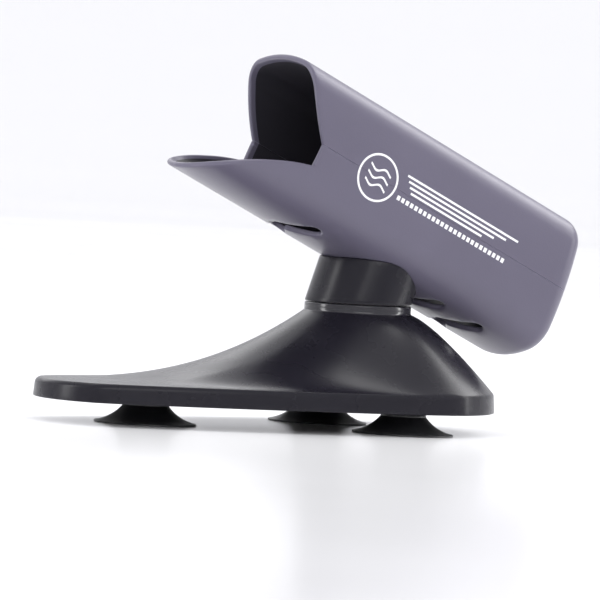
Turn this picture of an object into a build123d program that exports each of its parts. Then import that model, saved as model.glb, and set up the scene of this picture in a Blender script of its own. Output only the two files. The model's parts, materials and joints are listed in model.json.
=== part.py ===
from build123d import *
import math
import os

# Hair dryer holder: a swept base on three suction cups carries a short leaning neck, and the
# neck carries a slanted tube that takes the dryer's handle. The neck turns on the base.
# Millimetres. +Z is up and Z = 0 is the table. +X runs from the tube's mouth to its low end.
# +Y is the holder's left side when it is seen from behind the mouth. The origin is the middle
# of the overall box, on the table.

SWIVEL_X = 29.95             # the swivel axis, along X from the origin

# Base, measured from the swivel axis
BASE_EDGE_Z = 11.0           # bottom edge of the rim band
BAND_HEIGHT = 9.4
BAND_DRAFT = 0.8             # the band leans in by this much over its height
RIM_ROUND = 3.2
HEEL_X = 3.2                 # middle and radius of the heel end of the outline
HEEL_R = 68.3
TOE_X = -127.1               # middle and radius of the toe end of the outline
TOE_R = 48.0
SIDE_START = 70.0            # degrees round the outline where heel becomes side
SIDE_SWEEP = 75.0            # and how far round the side runs before it is toe
OUTLINE_POINTS = 28
CROWN_Z = 57.4               # where the sweep meets the collar
CROWN_R = 27.2
HEEL_POWER = 0.78            # how full the sweep is at the heel
TOE_POWER = 0.39             # how hollow it is along the toe
SWEEP_LEVELS = 8
FUSE_TOL = 0.005
BASE_WALL = 2.6

# Swivel
COLLAR_R = 26.6
COLLAR_TOP_Z = 61.9
COLLAR_FLOOR_Z = 57.3
COLLAR_BORE_R = 23.4
WASHER_SEAT_R = 20.0
WASHER_SEAT_Z = 60.9
THRUST_WASHER_T = 1.2
BUSH_R = 6.5
BUSH_FLANGE_R = 9.0
PIVOT_R = 4.0
PIVOT_CLEARANCE = 0.05
PIVOT_LENGTH = 22.0
HEX_FLATS = 13.0
HEX_HEAD_H = 5.3

# Neck
NECK_Z = 62.3
NECK_R = 26.6
NECK_LEAN = 20.0             # degrees from upright, towards +X
NECK_FLARE = 0.026           # growth of the radius per millimetre of height
NECK_FLOOR = 4.0
NECK_WALL = 3.0
NECK_TOP_Z = 96.0            # above every point where the neck meets the tube

# Tube: a section swept along a slanted straight axis, split along each side
TUBE_SLOPE = 24.2            # degrees, the mouth end is high
NOTCH_X = -46.6              # the notch between arch and lip, on the parting plane
NOTCH_Z = 139.9
TUBE_HALF_WIDTH = 34.1
TUBE_TOP = 37.5              # crown above the parting plane
TUBE_BOTTOM = 38.4           # keel below it
TOP_ARC_R = 100.0
BOTTOM_ARC_R = 60.0
SIDE_ARC_R = 160.0
TOP_CORNER_R = 14.0
BOTTOM_CORNER_R = 19.0
TUBE_WALL = 2.8
TUBE_START = -90.0           # along the axis from the notch, before the mouth is cut
TUBE_END = 166.2
END_TILT = 4.5               # degrees, the end wall stands nearer to upright
END_ROUND = 10.0
END_ROUND_INSIDE = 7.4
TONGUE_T = 1.2
TONGUE_H = 2.0
TONGUE_GAP = 0.15

# Mouth, as a profile seen from the side
ARCH_MID_X = -51.6           # the arch's rim leans towards the mouth, then straightens
ARCH_MID_Z = 168.0
ARCH_TOP_X = -52.2
ARCH_TOP_Z = 184.0
CHAMFER_X = -51.5            # foot of the short chamfer below the notch
CHAMFER_Z = 129.5
LIP_CREST_X = -74.0
LIP_CREST_Z = 131.2
LIP_TIP_X = -112.4
LIP_TIP_Z = 123.9

# Openings in the tube
VENT_LENGTH = 25.0
VENT_WIDTH = 8.4
VENT_TURN = 55.0             # degrees between each vent and the tube's axis
VENT_Y = 9.4
VENT_ALONG = (19.6, 101.5, 127.6)
CORD_EXIT_WIDTH = 50.0
CORD_EXIT_HEIGHT = 38.0
CORD_EXIT_R = 14.0

# Suction cups and bottom cover
CUP_R = 25.0
CUP_POSITIONS = {
    "suction_cup_toe": (-118.8, 0.0),
    "suction_cup_left": (5.0, 39.6),
    "suction_cup_right": (5.0, -39.6),
}
CUP_CONE_H = 8.8
CUP_NECK_R = 11.2
CUP_SEAT_Z = 10.8
CUP_BOSS_R = 12.6
CUP_SCREW_R = 2.0
CUP_SCREW_LENGTH = 8.0
PLATE_Z = 12.8
PLATE_T = 2.2
PLATE_GAP = 0.3
SCREW_POINTS = ((-157.0, 22.0), (-157.0, -22.0), (-66.0, 44.0), (-66.0, -44.0), (50.0, 27.0), (50.0, -27.0))
SCREW_R = 1.5
SCREW_HEAD_R = 3.0
SCREW_HEAD_H = 1.8
SCREW_LENGTH = 5.5
SCREW_SEAT = 0.6             # how deep each neck screw's seat is cut into the keel
BOSS_R = 3.8
NECK_SCREW_SPOTS = ((54.0, 13.0), (54.0, -13.0), (79.0, 13.0), (79.0, -13.0))  # along the tube, Y
NECK_SCREW_LENGTH = 8.0


def smooth_step(value):
    """0 before 0, 1 after 1, and a smooth rise between."""
    value = min(max(value, 0.0), 1.0)
    return value * value * (3.0 - 2.0 * value)


def outline_face(heel_x, heel_r, toe_x, toe_r, z):
    """An egg-shaped face: a heel arc and a toe arc, with full sides that run from one to the other."""
    points = []
    for step in range(OUTLINE_POINTS):
        angle = 360.0 * step / OUTLINE_POINTS
        from_heel = min(angle, 360.0 - angle)
        share = smooth_step((from_heel - SIDE_START) / SIDE_SWEEP)
        middle = heel_x + (toe_x - heel_x) * share
        radius = heel_r + (toe_r - heel_r) * share
        turn = math.radians(angle)
        points.append((middle + radius * math.cos(turn), radius * math.sin(turn), z))
    return make_face(Spline(*points, periodic=True))


def sweep_face(depth, inset, z_shift):
    """The base's level outline at a depth from 0, the crown, to 1, the rim."""
    heel = depth ** HEEL_POWER
    toe = 1.0 - (1.0 - depth) ** TOE_POWER
    heel_r = CROWN_R + (HEEL_R - BAND_DRAFT - CROWN_R) * heel - inset
    toe_r = CROWN_R + (TOE_R - BAND_DRAFT - CROWN_R) * toe - inset
    rim_z = BASE_EDGE_Z + BAND_HEIGHT
    z = CROWN_Z + (rim_z - CROWN_Z) * depth + z_shift
    return outline_face(HEEL_X * heel, heel_r, TOE_X * toe, toe_r, z)


def sweep_solid(inset, z_shift):
    """The swept body of the base from crown to rim, as one smooth loft."""
    depths = [1.0 - (1.0 - level / SWEEP_LEVELS) ** 2 for level in range(SWEEP_LEVELS + 1)]
    return loft([sweep_face(depth, inset, z_shift) for depth in depths])


def band_solid(inset, low_z, high_z):
    """The rim band, which leans in a little as it rises."""
    low = outline_face(HEEL_X, HEEL_R - inset, TOE_X, TOE_R - inset, low_z)
    lean = BAND_DRAFT + inset
    high = outline_face(HEEL_X, HEEL_R - lean, TOE_X, TOE_R - lean, high_z)
    return loft([low, high], ruled=True)


def base_form(inset):
    """The sweep and the band as one solid; the fuse closes the hair's breadth between their edges."""
    rim_z = BASE_EDGE_Z + BAND_HEIGHT
    return sweep_solid(inset, -inset).fuse(band_solid(inset, BASE_EDGE_Z, rim_z - inset), tol=FUSE_TOL)


def upright(radius, low_z, high_z, x=0.0, y=0.0):
    """A plain upright cylinder between two heights."""
    return Pos(x, y, (low_z + high_z) / 2) * Cylinder(radius, high_z - low_z)


def base_shell():
    """The one-piece cover: rim band, swept top, collar, pivot floor and the screw bosses."""
    rim_z = BASE_EDGE_Z + BAND_HEIGHT
    outside = base_form(0.0)
    rim = outside.edges().filter_by_position(Axis.Z, rim_z - 0.1, rim_z + 0.1)
    outside = fillet(rim, RIM_ROUND)
    outside += upright(COLLAR_R, CROWN_Z - 3.0, COLLAR_TOP_Z)
    hollow = base_form(BASE_WALL) + upright(COLLAR_BORE_R, CROWN_Z - 8.0, COLLAR_FLOOR_Z)
    shell = outside - hollow
    for x, y in SCREW_POINTS:
        boss = upright(BOSS_R, PLATE_Z + PLATE_T, CROWN_Z, x, y) & outside
        shell += boss
        shell -= upright(SCREW_R - 0.2, PLATE_Z, PLATE_Z + SCREW_LENGTH + 0.7, x, y)
    shell -= upright(WASHER_SEAT_R, WASHER_SEAT_Z, COLLAR_TOP_Z)
    shell -= upright(BUSH_R, COLLAR_FLOOR_Z - 1.0, COLLAR_TOP_Z)
    return shell


def base_plate():
    """The bottom cover, set up inside the rim, with a boss for each cup and a hole for each screw."""
    inset = BASE_WALL + PLATE_GAP
    low = outline_face(HEEL_X, HEEL_R - inset - 0.3, TOE_X, TOE_R - inset - 0.3, PLATE_Z)
    plate = extrude(low, PLATE_T)
    for x, y in CUP_POSITIONS.values():
        plate += upright(CUP_BOSS_R, CUP_SEAT_Z, PLATE_Z + PLATE_T, x, y)
        plate -= upright(CUP_SCREW_R + 0.3, CUP_SEAT_Z, PLATE_Z + PLATE_T, x, y)
    for x, y in SCREW_POINTS:
        plate -= upright(SCREW_R + 0.3, PLATE_Z, PLATE_Z + PLATE_T, x, y)
    return plate


def suction_cup(x, y):
    """A rubber cup: thin lip on the table, hollow under the cone, solid neck with a screw hole."""
    with BuildPart() as cup:
        with BuildSketch(Plane.XZ):
            with BuildLine():
                Polyline((CUP_NECK_R, CUP_CONE_H), (CUP_NECK_R, CUP_SEAT_Z), (0.0, CUP_SEAT_Z), (0.0, 3.4))
                ThreePointArc((0.0, 3.4), (13.0, 2.5), (CUP_R - 1.4, 0.0))
                Line((CUP_R - 1.4, 0.0), (CUP_R, 0.0))
                Line((CUP_R, 0.0), (CUP_R, 0.7))
                ThreePointArc((CUP_R, 0.7), (16.6, 3.9), (CUP_NECK_R, CUP_CONE_H))
            make_face()
        revolve(axis=Axis.Z)
    screw_room = CUP_SCREW_LENGTH - PLATE_T - (PLATE_Z - CUP_SEAT_Z)
    hole = upright(CUP_SCREW_R, CUP_SEAT_Z - screw_room - 0.3, CUP_SEAT_Z)
    return Pos(x, y, 0) * (cup.part - hole)


def pan_screw(radius, length, head_r, head_h):
    """A pan-head screw with a cross recess: shank down from Z = 0, head above it."""
    head = Pos(0, 0, head_h / 2) * Cylinder(head_r, head_h)
    head = fillet(head.edges().group_by(Axis.Z)[-1], head_h * 0.45)
    shank = Pos(0, 0, -length / 2) * Cylinder(radius, length)
    shank = chamfer(shank.edges().group_by(Axis.Z)[0], radius * 0.6)
    recess = Box(head_r * 1.1, head_r * 0.28, head_h) + Box(head_r * 0.28, head_r * 1.1, head_h)
    return head + shank - Pos(0, 0, head_h) * recess


def base_plate_screws():
    """The screws that hold the bottom cover, heads down."""
    screw = Rot(180, 0, 0) * pan_screw(SCREW_R - 0.2, SCREW_LENGTH, SCREW_HEAD_R, SCREW_HEAD_H)
    return Compound([Pos(x, y, PLATE_Z) * screw for x, y in SCREW_POINTS])


def cup_screws():
    """One screw through the bottom cover into each cup, heads up inside the base."""
    screw = pan_screw(CUP_SCREW_R - 0.05, CUP_SCREW_LENGTH, CUP_SCREW_R * 2.2, 2.6)
    return Compound([Pos(x, y, PLATE_Z + PLATE_T) * screw for x, y in CUP_POSITIONS.values()])


def swivel_bush():
    """The flanged plastic bush that lines the pivot hole."""
    sleeve = upright(BUSH_R, COLLAR_FLOOR_Z, WASHER_SEAT_Z)
    flange = upright(BUSH_FLANGE_R, WASHER_SEAT_Z, COLLAR_TOP_Z)
    return sleeve + flange - upright(PIVOT_R + PIVOT_CLEARANCE, COLLAR_FLOOR_Z, COLLAR_TOP_Z)


def thrust_washer():
    """The slippery ring that the neck turns on."""
    ring = upright(WASHER_SEAT_R - 0.3, WASHER_SEAT_Z, WASHER_SEAT_Z + THRUST_WASHER_T)
    return ring - upright(BUSH_FLANGE_R + 0.3, WASHER_SEAT_Z, WASHER_SEAT_Z + THRUST_WASHER_T)


def hex_prism(flats, low_z, high_z):
    """An upright hexagonal prism."""
    corner_r = flats / math.sqrt(3.0)
    return Pos(0, 0, low_z) * extrude(RegularPolygon(corner_r, 6), high_z - low_z)


def pivot_bolt():
    """The hex-head bolt, held from turning by the neck."""
    seat = NECK_Z + NECK_FLOOR
    bolt = hex_prism(HEX_FLATS, seat, seat + HEX_HEAD_H) + upright(PIVOT_R, seat - PIVOT_LENGTH, seat)
    return chamfer(bolt.edges().group_by(Axis.Z)[0], 0.6)


def flat_washer():
    """The steel washer under the pivot floor."""
    top = COLLAR_FLOOR_Z - 0.15
    return upright(9.0, top - 1.6, top) - upright(PIVOT_R + 0.2, top - 1.6, top)


def spring_washer():
    """The split spring ring that keeps the swivel snug."""
    top = COLLAR_FLOOR_Z - 0.15 - 1.6
    ring = upright(7.2, top - 2.0, top) - upright(PIVOT_R + 0.2, top - 2.0, top)
    gap = Pos(6.0, 0, top - 1.0) * Rot(30, 0, 0) * Box(8.0, 1.0, 6.0)
    return ring - gap


def lock_nut():
    """The nylon-insert nut that sets how firmly the head turns."""
    top = COLLAR_FLOOR_Z - 0.15 - 1.6 - 2.0
    nut = hex_prism(HEX_FLATS, top - 6.0, top) + upright(5.6, top - 8.0, top - 6.0)
    return nut - upright(PIVOT_R + 0.05, top - 8.0, top)


def tube_plane():
    """Local X is +Y, local Y is up across the tube, local Z runs down along its axis from the notch."""
    slope = math.radians(TUBE_SLOPE)
    return Plane(origin=(NOTCH_X, 0, NOTCH_Z), x_dir=(0, 1, 0), z_dir=(math.cos(slope), 0, -math.sin(slope)))


def tube_section(inset):
    """A softly bulging section: crown, keel and sides are wide arcs with round corners between."""
    crown = Pos(0, TUBE_TOP - TOP_ARC_R) * Circle(TOP_ARC_R - inset)
    keel = Pos(0, BOTTOM_ARC_R - TUBE_BOTTOM) * Circle(BOTTOM_ARC_R - inset)
    left = Pos(SIDE_ARC_R - TUBE_HALF_WIDTH, 0) * Circle(SIDE_ARC_R - inset)
    right = Pos(TUBE_HALF_WIDTH - SIDE_ARC_R, 0) * Circle(SIDE_ARC_R - inset)
    section = crown & keel & left & right
    corners = section.vertices().sort_by(Axis.Y)
    section = fillet(corners[2:], TOP_CORNER_R - inset)
    corners = section.vertices().sort_by(Axis.Y)
    return fillet(corners[:2], BOTTOM_CORNER_R - inset)


def tube_solid(inset, end_round):
    """The closed tube before its mouth is cut, on the tube's own axes."""
    length = TUBE_END - TUBE_START + 40.0
    body = Pos(0, 0, TUBE_START) * extrude(tube_section(inset), length)
    beyond = Pos(0, 0, TUBE_END - inset) * Rot(-END_TILT, 0, 0) * Pos(0, 0, 100.0) * Box(300.0, 300.0, 200.0)
    body -= beyond
    return fillet(end_edges(body), end_round)


def end_edges(body):
    """The edges round the end wall."""
    end_face = body.faces().sort_by(Axis.Z)[-1]
    return end_face.edges()


def mouth_cutter():
    """Everything on the open side of the mouth: beyond the arch's rim, the chamfers and the lip's edge."""
    high_z = 260.0
    with BuildPart() as cutter:
        with BuildSketch(Plane.XZ):
            with BuildLine():
                Polyline(
                    (LIP_TIP_X, LIP_TIP_Z), (LIP_TIP_X - 80.0, LIP_TIP_Z), (LIP_TIP_X - 80.0, high_z),
                    (ARCH_TOP_X, high_z), (ARCH_TOP_X, ARCH_TOP_Z),
                )
                ThreePointArc((ARCH_TOP_X, ARCH_TOP_Z), (ARCH_MID_X, ARCH_MID_Z), (NOTCH_X, NOTCH_Z))
                Line((NOTCH_X, NOTCH_Z), (CHAMFER_X, CHAMFER_Z))
                ThreePointArc((CHAMFER_X, CHAMFER_Z), (LIP_CREST_X, LIP_CREST_Z), (LIP_TIP_X, LIP_TIP_Z))
            make_face()
        extrude(amount=60.0, both=True)
    return cutter.part


def half_space(upper, offset=0.0):
    """All of the tube's space above, or below, a plane along the parting line, on the tube's axes."""
    side = 1.0 if upper else -1.0
    return Pos(0, offset + side * 100.0, 40.0) * Box(200.0, 200.0, 500.0)


def tongue_room(inset, height):
    """The ring just inside the wall along the parting line, where the halves overlap."""
    run = TUBE_END - END_ROUND - TUBE_START
    ring = extrude(tube_section(inset) - tube_section(TUBE_WALL), run)
    return Pos(0, 0, TUBE_START) * ring & (Pos(0, height / 2, 0) * Box(200.0, height, 600.0))


def vent_cutters():
    """Pairs of slanted slots through the keel that meet in a V pointing at the mouth."""
    cutters = []
    for along in VENT_ALONG:
        for side in (1.0, -1.0):
            slot = Rot(0, 0, 90.0 + side * VENT_TURN) * SlotOverall(VENT_LENGTH, VENT_WIDTH)
            flat = Plane(origin=(side * VENT_Y, -TUBE_BOTTOM - 8.0, along), x_dir=(1, 0, 0), z_dir=(0, 1, 0))
            cutters.append(extrude(flat * slot, 22.0))
    return cutters


def cord_exit():
    """The round-cornered way out through the end wall for the dryer's cord and plug."""
    opening = RectangleRounded(CORD_EXIT_WIDTH, CORD_EXIT_HEIGHT, CORD_EXIT_R)
    return Pos(0, 0, TUBE_END - 12.0) * extrude(opening, 30.0)


def tube_shells():
    """The two halves of the tube, split along the parting line and lapped by a tongue inside."""
    outside = tube_solid(0.0, END_ROUND)
    shell = outside - tube_solid(TUBE_WALL, END_ROUND_INSIDE) - cord_exit()
    upper = shell & half_space(True)
    upper -= tongue_room(TUBE_WALL - TONGUE_T - TONGUE_GAP, TONGUE_H + TONGUE_GAP)
    lower = (shell & half_space(False)) + tongue_room(TUBE_WALL - TONGUE_T, TONGUE_H)
    for cutter in vent_cutters():
        lower -= cutter
    for place in neck_screw_places():
        lower -= place * Cylinder(SCREW_R + 0.2, 20.0)
        lower -= place * Pos(0, 0, SCREW_HEAD_H) * Cylinder(SCREW_HEAD_R + 0.3, 2.0 * SCREW_HEAD_H)
    slanted = tube_plane().location
    mouth = mouth_cutter()
    return slanted * upper - mouth, slanted * lower - mouth, slanted * outside


def neck_screw_places():
    """The seat of each neck screw on the inside of the keel, with its local Z along the screw."""
    places = []
    for along, y in NECK_SCREW_SPOTS:
        keel_r = BOTTOM_ARC_R - TUBE_WALL + SCREW_SEAT
        seat = BOTTOM_ARC_R - TUBE_BOTTOM - math.sqrt(keel_r ** 2 - y ** 2)
        places.append(Pos(y, seat, along) * Rot(-90, 0, 0))
    return places


def neck_screws():
    """The screws from inside the tube down into the neck."""
    screw = pan_screw(SCREW_R - 0.2, NECK_SCREW_LENGTH, SCREW_HEAD_R, SCREW_HEAD_H)
    slanted = tube_plane().location
    return Compound([slanted * place * screw for place in neck_screw_places()])


def leaning_cone(radius, low_z):
    """The neck's round form, leaning towards the tube's low end and growing a little as it rises."""
    shift = (NECK_TOP_Z - low_z) * math.tan(math.radians(NECK_LEAN))
    low_shift = (low_z - NECK_Z) * math.tan(math.radians(NECK_LEAN))
    low = Pos(low_shift, 0, low_z) * Circle(radius)
    high = Pos(low_shift + shift, 0, NECK_TOP_Z) * Circle(radius + (NECK_TOP_Z - low_z) * NECK_FLARE)
    return loft([low, high], ruled=True)


def neck(tube_outside):
    """The hollow neck: floor with a hex pocket for the pivot bolt, and bosses for the tube's screws."""
    floor_z = NECK_Z + NECK_FLOOR
    form = leaning_cone(NECK_R, NECK_Z)
    body = form - leaning_cone(NECK_R - NECK_WALL, floor_z)
    pocket_wall = upright(11.0, floor_z, floor_z + HEX_HEAD_H)
    body += pocket_wall - hex_prism(HEX_FLATS + 0.1, floor_z, floor_z + HEX_HEAD_H)
    slanted = tube_plane().location
    for place in neck_screw_places():
        boss = slanted * place * Pos(0, 0, -20.0) * Cylinder(BOSS_R, 40.0)
        body += boss & form
    for place in neck_screw_places():
        depth = NECK_SCREW_LENGTH + 0.5
        body -= slanted * place * Pos(0, 0, -depth / 2) * Cylinder(SCREW_R - 0.2, depth)
    body -= upright(PIVOT_R + PIVOT_CLEARANCE, NECK_Z, floor_z)
    return body - tube_outside


def holder():
    """Every piece by its name, standing about the swivel axis."""
    upper_shell, lower_shell, tube_outside = tube_shells()
    pieces = {
        "base_shell": base_shell(),
        "base_plate": base_plate(),
        "base_plate_screws": base_plate_screws(),
        "cup_screws": cup_screws(),
        "swivel_bush": swivel_bush(),
        "thrust_washer": thrust_washer(),
        "pivot_bolt": pivot_bolt(),
        "flat_washer": flat_washer(),
        "spring_washer": spring_washer(),
        "lock_nut": lock_nut(),
        "neck": neck(tube_outside),
        "neck_screws": neck_screws(),
        "lower_shell": lower_shell,
        "upper_shell": upper_shell,
    }
    for name, (x, y) in CUP_POSITIONS.items():
        pieces[name] = suction_cup(x, y)
    return pieces


os.makedirs("parts", exist_ok=True)
for node, piece in holder().items():
    export_step(Pos(SWIVEL_X, 0, 0) * piece, f"parts/{node}.step")
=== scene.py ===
import json
import math

import bmesh
import bpy
import numpy as np
from bpy.props import (
    FloatProperty,
    FloatVectorProperty,
    IntProperty,
    PointerProperty,
)
from bpy.types import Operator, Panel, PropertyGroup
from mathutils import Matrix, Vector


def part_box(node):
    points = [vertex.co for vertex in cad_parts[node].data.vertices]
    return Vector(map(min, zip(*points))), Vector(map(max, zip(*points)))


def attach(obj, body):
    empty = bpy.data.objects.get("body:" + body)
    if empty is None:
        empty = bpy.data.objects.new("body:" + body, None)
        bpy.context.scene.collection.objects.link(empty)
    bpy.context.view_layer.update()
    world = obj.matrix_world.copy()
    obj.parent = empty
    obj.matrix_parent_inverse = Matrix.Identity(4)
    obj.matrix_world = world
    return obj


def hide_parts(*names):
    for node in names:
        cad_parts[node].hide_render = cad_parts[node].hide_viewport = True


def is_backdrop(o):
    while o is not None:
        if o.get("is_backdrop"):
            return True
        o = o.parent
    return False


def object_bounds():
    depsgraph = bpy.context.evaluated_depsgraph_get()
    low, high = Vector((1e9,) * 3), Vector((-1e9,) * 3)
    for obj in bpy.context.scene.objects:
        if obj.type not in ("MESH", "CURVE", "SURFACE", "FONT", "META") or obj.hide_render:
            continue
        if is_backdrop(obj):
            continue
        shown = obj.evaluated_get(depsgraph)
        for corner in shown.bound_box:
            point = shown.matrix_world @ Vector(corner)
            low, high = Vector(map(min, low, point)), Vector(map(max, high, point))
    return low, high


bl_info = {
    "name": "Hair Dryer Holder",
    "version": (1, 0, 0),
    "blender": (4, 5, 0),
    "location": "3D View > Sidebar > Dryer Holder",
    "description": "Builds a hands-free hair dryer holder with a swivelling tube on a swept base",
    "category": "Add Mesh",
}

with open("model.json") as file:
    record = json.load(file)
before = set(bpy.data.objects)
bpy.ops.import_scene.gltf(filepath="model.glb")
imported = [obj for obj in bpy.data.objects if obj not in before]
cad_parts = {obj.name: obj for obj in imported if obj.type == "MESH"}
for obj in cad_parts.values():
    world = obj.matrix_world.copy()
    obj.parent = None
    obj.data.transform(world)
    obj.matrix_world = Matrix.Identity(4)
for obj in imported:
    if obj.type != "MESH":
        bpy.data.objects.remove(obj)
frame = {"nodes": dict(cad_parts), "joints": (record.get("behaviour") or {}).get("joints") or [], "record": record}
CAD_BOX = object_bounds()
SWIVEL_X = frame["joints"][0]["pos_m"][0]
COLLAR_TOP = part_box("base_shell")[1].z
NECK_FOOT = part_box("neck")[0].z


# ---------------------------------------------------------------- sizes and colours


def length_prop(name, description, default):
    """A length in metres that a user can change."""
    return FloatProperty(name=name, description=description, default=default, unit="LENGTH")


def angle_prop(name, description, degrees):
    """An angle that a user can change, with its default given in degrees."""
    default = math.radians(degrees)
    return FloatProperty(name=name, description=description, default=default, unit="ROTATION")


def place_prop(name, description, default):
    """A place, or a row of distances, in metres."""
    return FloatVectorProperty(
        name=name, description=description, default=default, size=len(default), unit="LENGTH",
    )


def colour_prop(name, description, default):
    """A linear colour."""
    return FloatVectorProperty(
        name=name, description=description, default=default, subtype="COLOR", min=0.0, max=1.0,
    )


class HolderBaseSizes(PropertyGroup):
    """The swept cover, its rim band and its collar."""

    edge_height: length_prop("Edge height", "Underside of the rim band above the table", 0.011)
    band_height: length_prop("Band height", "Height of the rim band", 0.0094)
    band_lean: length_prop("Band lean", "How far the band leans in over its height", 0.0008)
    rim_round: length_prop("Rim round", "Radius between the sweep and the band", 0.0032)
    heel_offset: length_prop("Heel offset", "Middle of the heel arc, from the swivel axis", 0.0032)
    heel_radius: length_prop("Heel radius", "Radius of the wide end", 0.0683)
    toe_offset: length_prop("Toe offset", "Middle of the toe arc, from the swivel axis", -0.1271)
    toe_radius: length_prop("Toe radius", "Radius of the long end", 0.048)
    side_start: angle_prop("Side start", "Angle round the outline where heel turns to side", 70.0)
    side_sweep: angle_prop("Side sweep", "Angle that the side takes up", 75.0)
    crown_height: length_prop("Crown height", "Where the sweep meets the collar", 0.0574)
    crown_radius: length_prop("Crown radius", "Radius of the sweep at the collar", 0.0272)
    heel_fullness: FloatProperty(
        name="Heel fullness", description="Power that shapes the heel's slope", default=0.78,
    )
    toe_hollow: FloatProperty(
        name="Toe hollow", description="Power that shapes the long hollow slope", default=0.39,
    )
    collar_radius: length_prop("Collar radius", "Radius of the polished collar", 0.0266)
    washer_seat_radius: length_prop("Washer seat radius", "Recess for the thrust washer", 0.020)
    washer_seat_depth: length_prop("Washer seat depth", "Depth of that recess", 0.001)
    bush_radius: length_prop("Bush radius", "Hole for the swivel bush", 0.0065)
    wall: length_prop("Wall", "Thickness of the cover", 0.0026)
    columns: IntProperty(
        name="Columns", description="Facets round the cover", default=256, min=32,
    )


class HolderNeckSizes(PropertyGroup):
    """The short leaning neck."""

    radius: length_prop("Radius", "Radius at the neck's foot", 0.0266)
    lean: angle_prop("Lean", "Lean from upright, towards the tube's low end", 20.0)
    flare: FloatProperty(
        name="Flare", description="Growth of the radius for each unit of height", default=0.026,
    )
    floor: length_prop("Floor", "Thickness of the neck's floor", 0.004)
    wall: length_prop("Wall", "Thickness of the neck's side", 0.003)
    bolt_radius: length_prop("Bolt radius", "Radius of the hole for the pivot bolt", 0.00405)
    edge_round: length_prop("Edge round", "Rounding where the neck meets the tube", 0.0009)


class HolderTubeSizes(PropertyGroup):
    """The slanted tube and its mouth. Across heights are measured square to the parting line."""

    slope: angle_prop("Slope", "Fall of the tube towards its low end", 24.2)
    notch_x: length_prop(
        "Notch position", "Notch between arch and lip, from the swivel axis", -0.0466,
    )
    notch_z: length_prop("Notch height", "Notch above the table", 0.1399)
    half_width: length_prop("Half width", "Half of the tube's width", 0.0341)
    crown: length_prop("Crown", "Top of the tube above the parting line", 0.0375)
    keel: length_prop("Keel", "Underside of the tube below the parting line", 0.0384)
    crown_arc: length_prop("Crown arc", "Radius of the top face", 0.100)
    keel_arc: length_prop("Keel arc", "Radius of the bottom face", 0.060)
    side_arc: length_prop("Side arc", "Radius of each side face", 0.160)
    crown_corner: length_prop("Crown corner", "Rounding of the upper corners", 0.014)
    keel_corner: length_prop("Keel corner", "Rounding of the lower corners", 0.019)
    wall: length_prop("Wall", "Thickness of the tube", 0.0028)
    length: length_prop("Length", "From the notch to the end wall", 0.1662)
    end_tilt: angle_prop("End tilt", "Turn of the end wall towards upright", 4.5)
    end_round: length_prop("End round", "Rounding of the closed end", 0.010)
    rim_round: length_prop("Rim round", "Rounding of the mouth's edge", 0.0011)
    seam: length_prop("Seam", "Width and depth of the parting line's bevels", 0.00026)
    exit_width: length_prop("Exit width", "Width of the cord exit", 0.049)
    exit_height: length_prop("Exit height", "Height of the cord exit", 0.038)
    exit_corner: length_prop("Exit corner", "Corner radius of the cord exit", 0.014)
    arch_middle: place_prop(
        "Arch middle", "Point on the arch's edge, from the swivel axis and table", (-0.0516, 0.168),
    )
    arch_top: place_prop("Arch top", "Upper end of the arch's edge", (-0.0522, 0.184))
    chamfer_foot: place_prop(
        "Chamfer foot", "Foot of the short step below the notch", (-0.0515, 0.1295),
    )
    lip_crest: place_prop("Lip crest", "Highest stretch of the long lip", (-0.0740, 0.1312))
    lip_tip: place_prop("Lip tip", "Tip that the lip's edge runs down to", (-0.1124, 0.1239))


class HolderVentSizes(PropertyGroup):
    """The slanted slots through the keel, in pairs that meet in a V pointing at the mouth."""

    length: length_prop("Length", "Length of each slot", 0.025)
    width: length_prop("Width", "Width of each slot", 0.0084)
    turn: angle_prop("Turn", "Angle between a slot and the tube's axis", 55.0)
    spread: length_prop("Spread", "Middle of a slot from the keel's middle line", 0.0094)
    lip: length_prop("Lip", "Rounding of each slot's edge", 0.0012)
    places: place_prop(
        "Places", "Distance of each pair from the notch, along the tube", (0.0196, 0.1015, 0.1276),
    )


class HolderCupSizes(PropertyGroup):
    """The three rubber suction cups."""

    radius: length_prop("Radius", "Radius of the cup's lip", 0.025)
    shoulder: length_prop("Shoulder", "Height where the cone meets the neck", 0.0088)
    neck_radius: length_prop("Neck radius", "Radius of the cup's neck", 0.0112)
    seat: length_prop("Seat", "Height of the cup's top", 0.0108)
    segments: IntProperty(
        name="Segments", description="Facets round a cup", default=96, min=16,
    )


class HolderScrewSizes(PropertyGroup):
    """The small pan-head screws."""

    head_radius: length_prop("Head radius", "Radius of a screw's head", 0.003)
    head_height: length_prop("Head height", "Height of a screw's head", 0.0018)
    shank_radius: length_prop("Shank radius", "Radius of a screw's shank", 0.0013)
    cover_length: length_prop("Cover screw length", "Shank of the bottom cover's screws", 0.0055)
    tube_length: length_prop("Tube screw length", "Shank of the screws from tube to neck", 0.008)
    recess: length_prop("Recess", "Width of each arm of the cross recess", 0.0009)


class HolderPrintSizes(PropertyGroup):
    """The plain airflow pattern printed along the tube's side."""

    emblem_place: length_prop(
        "Emblem place", "Middle of the ring, from the notch along the tube", 0.0355,
    )
    emblem_radius: length_prop("Emblem radius", "Radius of the ring", 0.0115)
    line: length_prop("Line width", "Width of the printed lines", 0.0011)
    stripe_place: length_prop(
        "Stripe place", "Start of the stripes, from the notch along the tube", 0.0510,
    )
    stripe_length: length_prop("Stripe length", "Length of the longest stripe", 0.074)
    ink: length_prop("Ink thickness", "How far the ink stands proud", 0.00007)


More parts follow.
